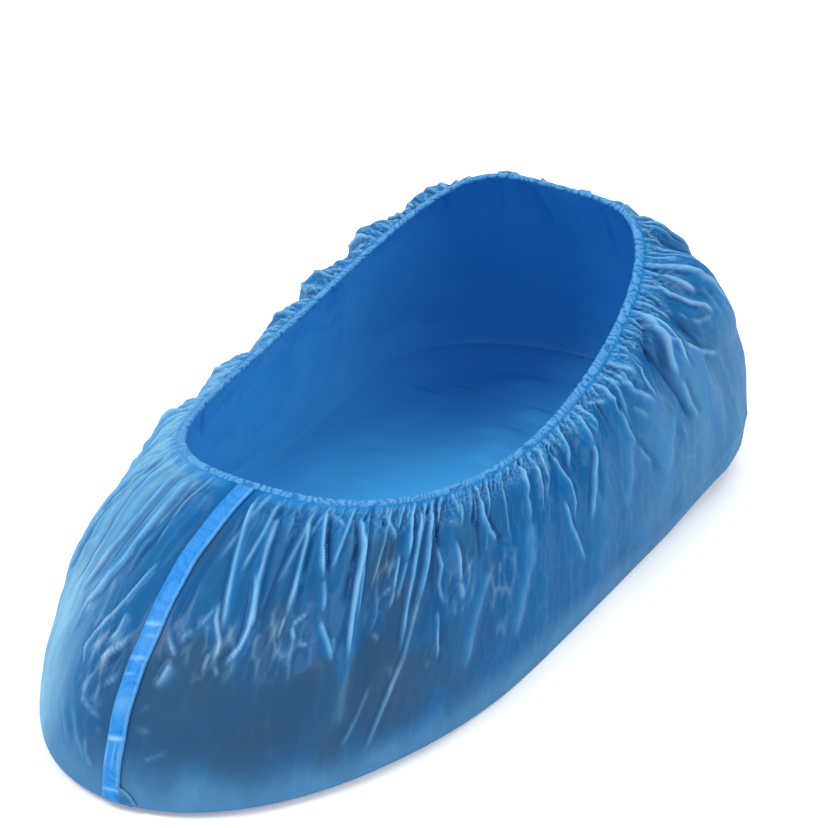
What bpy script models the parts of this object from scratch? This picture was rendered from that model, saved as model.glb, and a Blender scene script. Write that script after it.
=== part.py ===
"""Disposable shoe cover of thin film, in the form that it keeps on a shoe.

The toe points to -Y, the heel to +Y and the opening to +Z. The flat sole lies at z = 0.
A place on the wall is given by around, the share of the way round from the middle of the toe by the
+X side (0 toe, 0.5 heel, 1 toe again), and down, the share of the way from the rim to the sole.
"""

import math
from collections import namedtuple

import bmesh
import bpy
import numpy as np

# Flat sole, in metres
SOLE_LENGTH = 0.292
BALL_WIDTH = 0.126
HEEL_WIDTH = 0.122
TOE_ROUND = 0.115
HEEL_ROUND = 0.048
TOE_POWER = 2.03
HEEL_POWER = 2.25
SOLE_MARGIN = 0.007

# Opening: its distances from the ends of the sole, its width and the heights of the film's edge
RIM_FROM_TOE = 0.0675
RIM_FROM_HEEL = 0.0415
RIM_WIDTH = 0.096
RIM_FRONT_HEIGHT = 0.066
RIM_SIDE_HEIGHT = 0.0575
RIM_BACK_HEIGHT = 0.083
RIM_TOE_POWER = 0.72
RIM_HEEL_POWER = 0.50
RIM_ALONG_POWER = 0.95

# Wall between them. The shoulder's reach is a share of the way out to the sole's edge, its drop and the
# foot's level are shares of the heights in SECTIONS, and the foot's swell is a share of theirs
BELLY_SWELL = 0.0087
SHOULDER_REACH = 0.60
SHOULDER_DROP = 0.25
FOOT_SWELL = 1.30
FOOT_LEVEL = 0.55

# Film and trim
FILM_WALL = 0.001
HEM_HEIGHT = 0.0028
HEM_THICKNESS = 0.0018
HEM_RUCHE = 0.22
STRIP_WIDTH = 0.0056
STRIP_THICKNESS = 0.0008
STRIP_LIP = 0.0007
TAB_WIDTH = 0.0115
TAB_HEIGHT = 0.009
STRIP_FLOOR_GAP = 0.0012
STRIP_HEM_GAP = 0.0014
CLEARANCE = 0.0003

# Gathers along the rim, and broad folds lower down. Starts and reaches are shares of the wall from rim to
# sole, holds are the share of its reach over which a pleat keeps its depth, and unevenness is a share too
GATHERS = 40
GATHER_DEPTH = 0.0034
GATHER_REACH = 0.62
GATHER_START = 0.10
GATHER_HOLD = 0.40
DEPTH_UNEVENNESS = 0.28
REACH_UNEVENNESS = 0.30
FOLD_DEPTH = 0.0050
FOLD_START = 0.15
FOLD_HOLD = 0.35
STRIP_MARGIN = 0.0012
STRIP_BLEND = 0.006

COLUMNS_PER_GATHER = 4
WALL_ROWS = 10
ROW_POWER = 1.25
HEM_SIDES = 6
OUTLINE_SAMPLES = 1201
AROUND_STEP = 0.002
DOWN_STEP = 0.01
SHARP_ANGLE = math.radians(50.0)
TINY = 1e-6

# One row for each section of the wall, from the toe's middle round to the heel's middle.
# around: share of the half way round; swell: share of BELLY_SWELL; level: its height as a share of the rim's
Section = namedtuple("Section", "around swell level")
SECTIONS = (
    Section(0.00, 0.32, 0.77),
    Section(0.20, 0.18, 0.48),
    Section(0.50, 0.44, 0.52),
    Section(0.77, 1.00, 0.41),
    Section(1.00, 0.77, 0.27),
)

# One row for each broad fold, on both sides. around: share of the half way round, at the rim; width: its half
# width as the same share; depth: share of FOLD_DEPTH; reach: share of the wall down which it fades; lean: how
# far it shifts around on the way down
Fold = namedtuple("Fold", "around width depth reach lean")
FOLDS = (
    Fold(0.16, 0.022, 0.40, 0.85, -0.010),
    Fold(0.30, 0.024, 0.40, 0.80, -0.012),
    Fold(0.42, 0.026, 0.50, 0.95, -0.020),
    Fold(0.53, 0.026, 0.55, 0.90, -0.010),
    Fold(0.63, 0.030, 0.80, 0.95, 0.010),
    Fold(0.71, 0.028, 1.00, 0.90, 0.030),
    Fold(0.80, 0.030, 0.85, 0.85, 0.045),
    Fold(0.89, 0.026, 0.55, 0.70, 0.040),
)
FAR_SIDE_SHIFT = 1.03

FilmLook = namedtuple("FilmLook", "color roughness metallic")
BODY_LOOK = FilmLook((0.045, 0.260, 0.620, 1.0), 0.28, 0.0)
HEM_LOOK = FilmLook((0.040, 0.270, 0.680, 1.0), 0.34, 0.0)
STRIP_LOOK = FilmLook((0.060, 0.360, 0.840, 1.0), 0.30, 0.0)


def ease(values):
    """A smooth step from 0 to 1 as the values go from 0 to 1."""
    share = np.clip(values, 0.0, 1.0)
    return share * share * (3.0 - 2.0 * share)


def unit(vectors):
    """The vectors at a length of 1."""
    return vectors / np.maximum(np.linalg.norm(vectors, axis=-1, keepdims=True), TINY)


def half_share(around):
    """How far from the toe (0) to the heel (1) a place lies, the same on both sides."""
    return 1.0 - np.abs(1.0 - 2.0 * np.mod(around, 1.0))


def side_of(around):
    """1 on the +X side and -1 on the other."""
    return np.where(np.mod(around, 1.0) <= 0.5, 1.0, -1.0)


def section_value(column, share):
    """A column of SECTIONS, eased between its rows."""
    value = np.full_like(share, getattr(SECTIONS[0], column))
    for low, high in zip(SECTIONS, SECTIONS[1:]):
        change = getattr(high, column) - getattr(low, column)
        value += change * ease((share - low.around) / (high.around - low.around))
    return value


def rounded(distance, span, power):
    """Share of the full width at this distance from an end that rounds off over the span."""
    missing = np.maximum(1.0 - distance / span, 0.0)
    return np.maximum(1.0 - missing**power, 0.0) ** (1.0 / power)


def sole_half():
    """The +X half of the sole's edge, from the toe's middle to the heel's."""
    y = -0.5 * SOLE_LENGTH * np.cos(np.linspace(0.0, math.pi, OUTLINE_SAMPLES))
    from_toe = y + 0.5 * SOLE_LENGTH
    from_heel = 0.5 * SOLE_LENGTH - y
    straight = max(SOLE_LENGTH - TOE_ROUND - HEEL_ROUND, TINY)
    blend = ease((from_toe - TOE_ROUND) / straight)
    width = BALL_WIDTH * (1.0 - blend) + HEEL_WIDTH * blend
    ends = rounded(from_toe, TOE_ROUND, TOE_POWER) * rounded(from_heel, HEEL_ROUND, HEEL_POWER)
    return np.stack([0.5 * width * ends, y, np.zeros_like(y)], axis=-1)


def rim_half():
    """The +X half of the film's upper edge, under the hem."""
    angle = np.linspace(0.0, math.pi, OUTLINE_SAMPLES)
    cosine = np.cos(angle)
    along = 0.5 - 0.5 * np.sign(cosine) * np.abs(cosine) ** RIM_ALONG_POWER
    blend = ease(along)
    power = RIM_TOE_POWER * (1.0 - blend) + RIM_HEEL_POWER * blend
    front = -0.5 * SOLE_LENGTH + RIM_FROM_TOE
    length = SOLE_LENGTH - RIM_FROM_TOE - RIM_FROM_HEEL
    height = (
        RIM_FRONT_HEIGHT * (1.0 - along) * (1.0 - 2.0 * along)
        + RIM_SIDE_HEIGHT * 4.0 * along * (1.0 - along)
        + RIM_BACK_HEIGHT * along * (2.0 * along - 1.0)
    )
    across = 0.5 * RIM_WIDTH * np.maximum(np.sin(angle), 0.0) ** power
    return np.stack([across, front + along * length, height], axis=-1)


def along_outline(half, around):
    """Points on a half outline and its mirror image, at even lengths along it."""
    steps = np.linalg.norm(np.diff(half, axis=0), axis=1)
    length = np.concatenate([[0.0], np.cumsum(steps)])
    place = half_share(around) * length[-1]
    points = np.stack([np.interp(place, length, half[:, axis]) for axis in range(3)], axis=-1)
    points[..., 0] *= side_of(around)
    return points


def sole_edge(around):
    """Points on the edge of the flat sole."""
    return along_outline(SOLE_HALF, around)


def outward(around):
    """Level directions that point away from the sole, square to its edge."""
    ahead = sole_edge(around + 2.0 * AROUND_STEP) - sole_edge(around - 2.0 * AROUND_STEP)
    return unit(np.stack([ahead[..., 1], -ahead[..., 0], np.zeros_like(ahead[..., 0])], axis=-1))


def smooth_wall(around, down):
    """Points on the wall without its gathers: a curve from rim to sole over a shoulder and a belly."""
    rim = along_outline(RIM_HALF, around)
    edge = sole_edge(around)
    share = half_share(around)
    swell = BELLY_SWELL * section_value("swell", share)[..., None] * outward(around)
    level = rim[..., 2] * section_value("level", share)
    shoulder = (1.0 - SHOULDER_REACH) * rim + SHOULDER_REACH * (edge + swell)
    shoulder[..., 2] = (1.0 - SHOULDER_DROP) * rim[..., 2] + SHOULDER_DROP * level
    foot = edge + FOOT_SWELL * swell
    foot[..., 2] = FOOT_LEVEL * level
    up = (1.0 - down)[..., None]
    low = down[..., None]
    return up**3 * rim + 3.0 * up**2 * low * shoulder + 3.0 * up * low**2 * foot + low**3 * edge


def wall_frame(around, down):
    """Points on the smooth wall, with its outward normals and its directions up towards the rim."""
    higher = smooth_wall(around, np.maximum(down - DOWN_STEP, 0.0))
    lower = smooth_wall(around, np.minimum(down + DOWN_STEP, 1.0))
    rise = unit(higher - lower)
    ahead = smooth_wall(around + AROUND_STEP, down) - smooth_wall(around - AROUND_STEP, down)
    return smooth_wall(around, down), unit(np.cross(ahead, rise)), rise


def pleat_fade(down, start, hold, reach):
    """A pleat's share of its depth: none at the rim, all of it from start on, and none again at its reach."""
    return ease(down / start) * (1.0 - ease((down / reach - hold) / (1.0 - hold)))


def gather_lift(around, down):
    """How far the gathers into the rim lift the film: a row of unequal pleats that fade on the way down."""
    place = GATHERS * np.mod(around, 1.0)
    index = np.floor(place + TINY) % GATHERS
    ridge = 0.5 - 0.5 * np.cos(2.0 * math.pi * place)
    depth = GATHER_DEPTH * (1.0 - DEPTH_UNEVENNESS * (1.0 - np.sin(2.4 * index + 0.5)))
    reach = GATHER_REACH * (1.0 + REACH_UNEVENNESS * np.sin(1.9 * index))
    return depth * ridge * pleat_fade(down, GATHER_START, GATHER_HOLD, reach)


def fold_lift(around, down):
    """How far the broad folds lift the film. The -X side has the same folds, a little further back."""
    shift = np.where(side_of(around) > 0.0, 1.0, FAR_SIDE_SHIFT)
    lift = np.zeros_like(down)
    for fold in FOLDS:
        middle = (fold.around + fold.lean * down) * shift
        bell = np.exp(-(((half_share(around) - middle) / fold.width) ** 2))
        lift += FOLD_DEPTH * fold.depth * bell * pleat_fade(down, FOLD_START, FOLD_HOLD, fold.reach)
    return lift


def off_strip(points):
    """0 under the toe strip and 1 clear of it, so that the strip lies on smooth film."""
    beside = ease((np.abs(points[..., 0]) - 0.5 * STRIP_WIDTH - STRIP_MARGIN) / STRIP_BLEND)
    return np.where(points[..., 1] < 0.0, beside, 1.0)


def film_face(around, down):
    """Points on the film's outer face, with its gathers and folds."""
    points, normals, _ = wall_frame(around, down)
    lift = (gather_lift(around, down) + fold_lift(around, down)) * off_strip(points)
    return points + normals * lift[..., None]


def column_places():
    """Where the columns of points stand, as shares of the way round."""
    columns = GATHERS * COLUMNS_PER_GATHER
    return np.arange(columns) / columns


def row_places():
    """How far down the wall the rows of points lie, a little closer near the rim."""
    return (np.arange(WALL_ROWS + 1) / WALL_ROWS) ** ROW_POWER


def add_ring(mesh, points):
    """Adds one vertex for each point, in order."""
    return [mesh.verts.new(tuple(point)) for point in points]


def quads_between(mesh, first, second):
    """Faces between two closed rings of as many points."""
    count = len(first)
    for index in range(count):
        after = (index + 1) % count
        mesh.faces.new((first[index], second[index], second[after], first[after]))


def new_object(name, mesh, look, collection):
    """Makes an object of a bmesh, shaded smooth, with a material of its own."""
    data = bpy.data.meshes.new(name)
    mesh.to_mesh(data)
    mesh.free()
    data.shade_smooth()
    data.set_sharp_from_angle(angle=SHARP_ANGLE)
    material = bpy.data.materials.new(name)
    material.use_nodes = True
    shader = material.node_tree.nodes["Principled BSDF"]
    shader.inputs["Base Color"].default_value = look.color
    shader.inputs["Roughness"].default_value = look.roughness
    shader.inputs["Metallic"].default_value = look.metallic
    data.materials.append(material)
    item = bpy.data.objects.new(name, data)
    collection.objects.link(item)
    return item


def build_film_body(collection):
    """The bag: a loft of gathered rings from the rim to the sole, closed by the flat sole."""
    around = column_places()
    mesh = bmesh.new()
    rings = [add_ring(mesh, film_face(around, np.full_like(around, down))) for down in row_places()]
    flat = add_ring(mesh, sole_edge(around) - outward(around) * SOLE_MARGIN)
    rings.append(flat)
    for first, second in zip(rings, rings[1:]):
        quads_between(mesh, first, second)
    mesh.faces.new(flat[::-1])
    body = new_object("film_body", mesh, BODY_LOOK, collection)
    wall = body.modifiers.new("wall", "SOLIDIFY")
    wall.thickness = FILM_WALL
    wall.offset = -1.0
    wall.use_even_offset = True
    return body


def build_elastic_hem(collection):
    """The ruched casing: a closed loop that stands on the film's edge, thick and thin by turns."""
    around = column_places()
    rims, normals, rises = wall_frame(around, np.zeros_like(around))
    angles = 2.0 * math.pi * np.arange(HEM_SIDES) / HEM_SIDES
    mesh = bmesh.new()
    rings = []
    for index, (rim, normal, rise) in enumerate(zip(rims, normals, rises)):
        size = 1.0 + HEM_RUCHE * (0.5 - index % 2)
        half_height = 0.5 * HEM_HEIGHT * size
        half_thickness = 0.5 * HEM_THICKNESS * size
        middle = rim - normal * (0.5 * FILM_WALL) + rise * (CLEARANCE + half_height)
        ring = [
            middle + rise * (math.cos(angle) * half_height) + normal * (math.sin(angle) * half_thickness)
            for angle in angles
        ]
        rings.append(add_ring(mesh, ring))
    for first, second in zip(rings, rings[1:] + rings[:1]):
        quads_between(mesh, first, second)
    bmesh.ops.recalc_face_normals(mesh, faces=mesh.faces)
    return new_object("elastic_hem", mesh, HEM_LOOK, collection)


def strip_half_width(height):
    """Half the strip's width at this height. It spreads near the floor into the doubled corner."""
    rounding = math.sqrt(max(1.0 - (height / TAB_HEIGHT) ** 2, 0.0))
    return 0.5 * max(STRIP_WIDTH, TAB_WIDTH * rounding)


def build_toe_strip(collection):
    """The welded seam: a flat strip up the middle of the toe, with a raised lip along its +X edge."""
    rows = row_places()
    between = 0.5 * (rows[-2] + rows[-1])
    toe = smooth_wall(np.zeros(3), np.array([0.0, DOWN_STEP, rows[-2]]))
    top = DOWN_STEP * STRIP_HEM_GAP / np.linalg.norm(toe[1] - toe[0])
    foot = STRIP_FLOOR_GAP / (STRIP_FLOOR_GAP + toe[2][2])
    downs = np.array([top, *rows[1:-1], between, 1.0 - foot * (1.0 - rows[-2])])
    points, normals, _ = wall_frame(np.zeros_like(downs), downs)
    toe_radius = (0.5 * BALL_WIDTH) ** 2 / TOE_ROUND
    mesh = bmesh.new()
    rings = []
    for point, normal in zip(points, normals):
        half = strip_half_width(point[2])
        face = CLEARANCE + STRIP_THICKNESS
        outline = (
            (-half, CLEARANCE),
            (half, CLEARANCE),
            (half, face + STRIP_LIP),
            (half - 2.0 * STRIP_LIP, face),
            (-half, face),
        )
        bent = [(x, lift - 0.5 * x * x / toe_radius) for x, lift in outline]
        rings.append(add_ring(mesh, [point + normal * lift + (x, 0.0, 0.0) for x, lift in bent]))
    for first, second in zip(rings, rings[1:]):
        quads_between(mesh, first, second)
    mesh.faces.new(rings[0])
    mesh.faces.new(rings[-1][::-1])
    bmesh.ops.recalc_face_normals(mesh, faces=mesh.faces)
    return new_object("toe_strip", mesh, STRIP_LOOK, collection)


def main():
    """Clears the scene and builds the cover."""
    for item in list(bpy.data.objects):
        bpy.data.objects.remove(item, do_unlink=True)
    collection = bpy.data.collections.new("shoe_cover")
    bpy.context.scene.collection.children.link(collection)
    build_film_body(collection)
    build_elastic_hem(collection)
    build_toe_strip(collection)


SOLE_HALF = sole_half()
RIM_HALF = rim_half()

main()
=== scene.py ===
"""Looks of a disposable shoe cover: gathered blue film, a ruched elastic hem and a welded toe strip.

The toe points to -Y, the heel to +Y and the opening to +Z. A place on the wall is given by around, the share
of the way round from the middle of the toe by the +X side (0 toe, 0.5 heel, 1 toe again), and down, the share
of the way from the rim to the sole.
"""

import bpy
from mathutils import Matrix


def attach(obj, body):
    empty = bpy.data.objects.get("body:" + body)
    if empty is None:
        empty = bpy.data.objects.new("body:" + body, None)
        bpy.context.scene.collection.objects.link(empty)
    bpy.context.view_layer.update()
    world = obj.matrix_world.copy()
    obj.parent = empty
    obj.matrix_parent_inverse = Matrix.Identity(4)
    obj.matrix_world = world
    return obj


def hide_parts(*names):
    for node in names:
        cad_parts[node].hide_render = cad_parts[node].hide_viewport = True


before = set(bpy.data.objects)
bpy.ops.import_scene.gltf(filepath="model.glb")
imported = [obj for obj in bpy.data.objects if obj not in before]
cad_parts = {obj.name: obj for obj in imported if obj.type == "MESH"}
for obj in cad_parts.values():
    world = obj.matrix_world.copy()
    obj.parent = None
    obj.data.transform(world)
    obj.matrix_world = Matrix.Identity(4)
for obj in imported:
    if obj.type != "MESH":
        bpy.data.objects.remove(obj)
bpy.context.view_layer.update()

import logging
import math
from dataclasses import asdict, dataclass, field, replace
from enum import Enum
from typing import Any, Optional, Sequence

import bmesh
import bpy
import numpy as np
from mathutils import Matrix, Vector

logging.basicConfig(level=logging.INFO, format="%(message)s")
LOG = logging.getLogger("shoe_cover")
MM = 0.001
TINY = 1e-6
# Marks that the film's finish reads: crest carries painted highlight, valley painted shade, lit painted light, and the
# tucked mark both tucked film and painted highlight.
MARKS = ("crest", "valley", "sheer", "crumpled", "tucked", "lit")


def ease(values: np.ndarray) -> np.ndarray:
    """A smooth step from 0 to 1 as the values go from 0 to 1."""
    share = np.clip(values, 0.0, 1.0)
    return share * share * (3.0 - 2.0 * share)


def unit(vectors: np.ndarray) -> np.ndarray:
    """The vectors at a length of 1."""
    return vectors / np.maximum(np.linalg.norm(vectors, axis=-1, keepdims=True), TINY)


def bell(values: np.ndarray) -> np.ndarray:
    """A bell curve: 1 where the values are 0, and down to 0.37 where they are 1."""
    return np.exp(-(values**2))


def from_toe(around: np.ndarray) -> np.ndarray:
    """The share of the way round from the toe's middle, over 0 on the +X side and under 0 on the other."""
    return np.mod(around + 0.5, 1.0) - 0.5


def blurred(values: np.ndarray, reach: int) -> np.ndarray:
    """Values smoothed along their last axis, which closes on itself.

    Args:
        values: rows of values round the cover.
        reach: how many columns to each side the smoothing takes in.

    Returns:
        The smoothed rows.
    """
    steps = np.arange(-reach, reach + 1)
    weights = bell(2.0 * steps / reach)
    total = np.zeros_like(values)
    for step, weight in zip(steps, weights / weights.sum()):
        total += weight * np.roll(values, step, axis=-1)
    return total


@dataclass(frozen=True)
class Section:
    """One section of the wall: its share of the half way round, its belly's swell and its height."""

    around: float
    swell: float
    level: float


@dataclass(frozen=True)
class Fold:
    """One broad fold: where it starts at the rim, half width, depth, reach down the wall and lean."""

    around: float
    width: float
    depth: float
    reach: float
    lean: float


@dataclass(frozen=True)
class Crease:
    """A ridge, or a valley where lift is under 0: width and lift in millimetres, and its places."""

    width: float
    lift: float
    path: tuple[tuple[float, float], ...]

    def mirrored(self, random: np.random.Generator) -> "Crease":
        """The same kind of crease on the other side, a little out of place."""
        shift = 0.004 * random.standard_normal()
        drop = 0.8 + 0.4 * random.random()
        path = tuple((1.0 - around + shift, min(down * drop, 0.95)) for around, down in self.path)
        return Crease(self.width, self.lift * random.uniform(0.6, 1.2), path)


@dataclass(frozen=True)
class Crumple:
    """An oval patch of crumpled film: its middle, its half sizes as shares, and its lift in millimetres."""

    around: float
    down: float
    half_around: float
    half_down: float
    lift: float


@dataclass(frozen=True)
class CoverForm:
    """The smooth form that the film is gathered on, the same as the solid's, in metres."""

    sole_length: float = 0.292
    ball_width: float = 0.126
    heel_width: float = 0.122
    toe_round: float = 0.115
    heel_round: float = 0.048
    toe_power: float = 2.03
    heel_power: float = 2.25
    rim_from_toe: float = 0.0675
    rim_from_heel: float = 0.0415
    rim_width: float = 0.096
    rim_front_height: float = 0.066
    rim_side_height: float = 0.0575
    rim_back_height: float = 0.083
    rim_toe_power: float = 0.72
    rim_heel_power: float = 0.50
    rim_along_power: float = 0.95
    belly_swell: float = 0.0087
    shoulder_reach: float = 0.60
    shoulder_drop: float = 0.25
    foot_swell: float = 1.30
    foot_level: float = 0.55
    toe_rise: float = 0.0020
    heel_rise: float = 0.0036
    samples: int = 1201
    step: float = 0.002
    sections: tuple[Section, ...] = (
        Section(0.00, 0.32, 0.77),
        Section(0.20, 0.18, 0.48),
        Section(0.50, 0.44, 0.52),
        Section(0.77, 1.00, 0.41),
        Section(1.00, 0.77, 0.27),
    )

    def half_share(self, around: np.ndarray) -> np.ndarray:
        """How far from the toe (0) to the heel (1) a place lies, the same on both sides."""
        return 1.0 - np.abs(1.0 - 2.0 * np.mod(around, 1.0))

    def side_of(self, around: np.ndarray) -> np.ndarray:
        """1 on the +X side and -1 on the other."""
        return np.where(np.mod(around, 1.0) <= 0.5, 1.0, -1.0)

    def section_value(self, name: str, share: np.ndarray) -> np.ndarray:
        """A value of the sections, eased between them.

        Args:
            name: the section's field.
            share: shares of the half way round.

        Returns:
            The value at each share.
        """
        value = np.full_like(share, getattr(self.sections[0], name))
        for low, high in zip(self.sections, self.sections[1:]):
            change = getattr(high, name) - getattr(low, name)
            value += change * ease((share - low.around) / (high.around - low.around))
        return value

    def rounded(self, distance: np.ndarray, span: float, power: float) -> np.ndarray:
        """Share of the full width at this distance from an end that rounds off over the span."""
        missing = np.maximum(1.0 - distance / span, 0.0)
        return np.maximum(1.0 - missing**power, 0.0) ** (1.0 / power)

    def sole_half(self) -> np.ndarray:
        """The +X half of the sole's edge, from the toe's middle to the heel's."""
        y = -0.5 * self.sole_length * np.cos(np.linspace(0.0, math.pi, self.samples))
        from_toe = y + 0.5 * self.sole_length
        from_heel = 0.5 * self.sole_length - y
        straight = self.sole_length - self.toe_round - self.heel_round
        blend = ease((from_toe - self.toe_round) / straight)
        width = self.ball_width * (1.0 - blend) + self.heel_width * blend
        ends = self.rounded(from_toe, self.toe_round, self.toe_power)
        ends = ends * self.rounded(from_heel, self.heel_round, self.heel_power)
        return np.stack([0.5 * width * ends, y, np.zeros_like(y)], axis=-1)

    def rim_half(self) -> np.ndarray:
        """The +X half of the film's upper edge, under the hem."""
        angle = np.linspace(0.0, math.pi, self.samples)
        cosine = np.cos(angle)
        along = 0.5 - 0.5 * np.sign(cosine) * np.abs(cosine) ** self.rim_along_power
        blend = ease(along)
        power = self.rim_toe_power * (1.0 - blend) + self.rim_heel_power * blend
        length = self.sole_length - self.rim_from_toe - self.rim_from_heel
        height = (
            self.rim_front_height * (1.0 - along) * (1.0 - 2.0 * along)
            + self.rim_side_height * 4.0 * along * (1.0 - along)
            + self.rim_back_height * along * (2.0 * along - 1.0)
        )
        across = 0.5 * self.rim_width * np.maximum(np.sin(angle), 0.0) ** power
        front = self.rim_from_toe - 0.5 * self.sole_length
        return np.stack([across, front + along * length, height], axis=-1)

    def along_outline(self, half: np.ndarray, around: np.ndarray) -> np.ndarray:
        """Points on a half outline and its mirror image, at even lengths along it."""
        lengths = np.linalg.norm(np.diff(half, axis=0), axis=1)
        run = np.concatenate([[0.0], np.cumsum(lengths)])
        place = self.half_share(around) * run[-1]
        points = np.stack([np.interp(place, run, half[:, axis]) for axis in range(3)], axis=-1)
        points[..., 0] *= self.side_of(around)
        return points

    def sole_edge(self, around: np.ndarray) -> np.ndarray:
        """Points on the edge of the flat sole."""
        return self.along_outline(self.sole_half(), around)

    def edge_rise(self, share: np.ndarray) -> np.ndarray:
        """How far the sole's edge curls up off the floor, at the toe and round the heel."""
        return self.toe_rise * (1.0 - ease((share - 0.2) / 0.25)) + self.heel_rise * ease((share - 0.64) / 0.16)

    def outward(self, around: np.ndarray) -> np.ndarray:
        """Level directions that point away from the sole, square to its edge."""
        ahead = self.sole_edge(around + 2.0 * self.step) - self.sole_edge(around - 2.0 * self.step)
        return unit(np.stack([ahead[..., 1], -ahead[..., 0], np.zeros_like(ahead[..., 0])], axis=-1))

    def wall(self, around: np.ndarray, down: np.ndarray) -> np.ndarray:
        """Points on the ungathered wall: a curve from rim to sole over a shoulder and a belly.

        Args:
            around: shares of the way round.
            down: shares of the way from rim to sole.

        Returns:
            The points, with a last axis of three.
        """
        rim = self.along_outline(self.rim_half(), around)
        edge = self.sole_edge(around)
        share = self.half_share(around)
        swell = self.section_value("swell", share)[..., None] * self.outward(around) * self.belly_swell
        level = rim[..., 2] * self.section_value("level", share)
        shoulder = (1.0 - self.shoulder_reach) * rim + self.shoulder_reach * (edge + swell)
        shoulder[..., 2] = (1.0 - self.shoulder_drop) * rim[..., 2] + self.shoulder_drop * level
        foot = edge + self.foot_swell * swell
        foot[..., 2] = self.foot_level * level
        up = (1.0 - down)[..., None]
        low = down[..., None]
        edge[..., 2] = self.edge_rise(share)
        return up**3 * rim + 3.0 * up**2 * low * shoulder + 3.0 * up * low**2 * foot + low**3 * edge

    def wall_frame(self, around: np.ndarray, down: np.ndarray) -> tuple[np.ndarray, np.ndarray, np.ndarray]:
        """Points on the smooth wall, with its outward normals and its directions up towards the rim."""
        higher = self.wall(around, np.maximum(down - 0.01, 0.0))
        lower = self.wall(around, np.minimum(down + 0.01, 1.0))
        rise = unit(higher - lower)
        ahead = self.wall(around + self.step, down) - self.wall(around - self.step, down)
        return self.wall(around, down), unit(np.cross(ahead, rise)), rise


class LatticeNoise:
    """Smooth, repeatable noise over the wall, which closes on itself round the cover."""

    def __init__(self, seed: int, around_cells: int, down_cells: int) -> None:
        """Fills the lattice.

        Args:
            seed: the seed of its random numbers.
            around_cells: cells once round the cover.
            down_cells: cells from rim to sole.
        """
        self.around_cells = around_cells
        self.down_cells = down_cells
        self.lattice = np.random.default_rng(seed).random((down_cells + 3, around_cells))

    def __call__(self, around: np.ndarray, down: np.ndarray) -> np.ndarray:
        """Noise from 0 to 1 at the given places."""
        x = np.mod(around, 1.0) * self.around_cells
        y = np.clip(down, 0.0, 1.0) * self.down_cells
        column = np.floor(x).astype(int)
        row = np.floor(y).astype(int)
        right = ease(x - column)
        below = ease(y - row)
        column %= self.around_cells
        beside = (column + 1) % self.around_cells
        upper = self.lattice[row, column] * (1.0 - right) + self.lattice[row, beside] * right
        lower = self.lattice[row + 1, column] * (1.0 - right) + self.lattice[row + 1, beside] * right
        return upper * (1.0 - below) + lower * below


class CellNoise:
    """Cells with sharp walls over the cover, like the facets of crumpled film, closing on themselves."""

    def __init__(self, seed: int, around_cells: int, down_cells: int) -> None:
        """Scatters a middle in every cell.

        Args:
            seed: the seed of its random numbers.
            around_cells: cells once round the cover.
            down_cells: cells from rim to sole.
        """
        self.around_cells = around_cells
        self.down_cells = down_cells
        self.middles = np.random.default_rng(seed).random((down_cells + 4, around_cells, 2))
        self.warp = LatticeNoise(seed + 1, max(around_cells // 3, 4), max(down_cells // 3, 3))

    def __call__(self, around: np.ndarray, down: np.ndarray) -> tuple[np.ndarray, np.ndarray]:
        """The squared distance to the nearest middle, and 1 on the walls falling off quickly beside them."""
        bent = self.warp(around, down) - 0.5
        x = np.mod(around, 1.0) * self.around_cells + 1.4 * bent
        y = np.clip(down, 0.0, 1.0) * self.down_cells + 1.0 + 0.8 * bent
        column = np.floor(x).astype(int)
        row = np.floor(y).astype(int)
        nearest = np.full_like(x, 9.0)
        second = np.full_like(x, 9.0)
        for below in (-1, 0, 1):
            for beside in (-1, 0, 1):
                at_row = np.clip(row + below, 0, self.down_cells + 3)
                middle = self.middles[at_row, (column + beside) % self.around_cells]
                away = (column + beside + middle[..., 0] - x) ** 2 + (row + below + middle[..., 1] - y) ** 2
                second = np.minimum(second, np.maximum(away, nearest))
                nearest = np.minimum(nearest, away)
        return nearest, np.exp((np.sqrt(nearest) - np.sqrt(second)) / 0.10)


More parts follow.
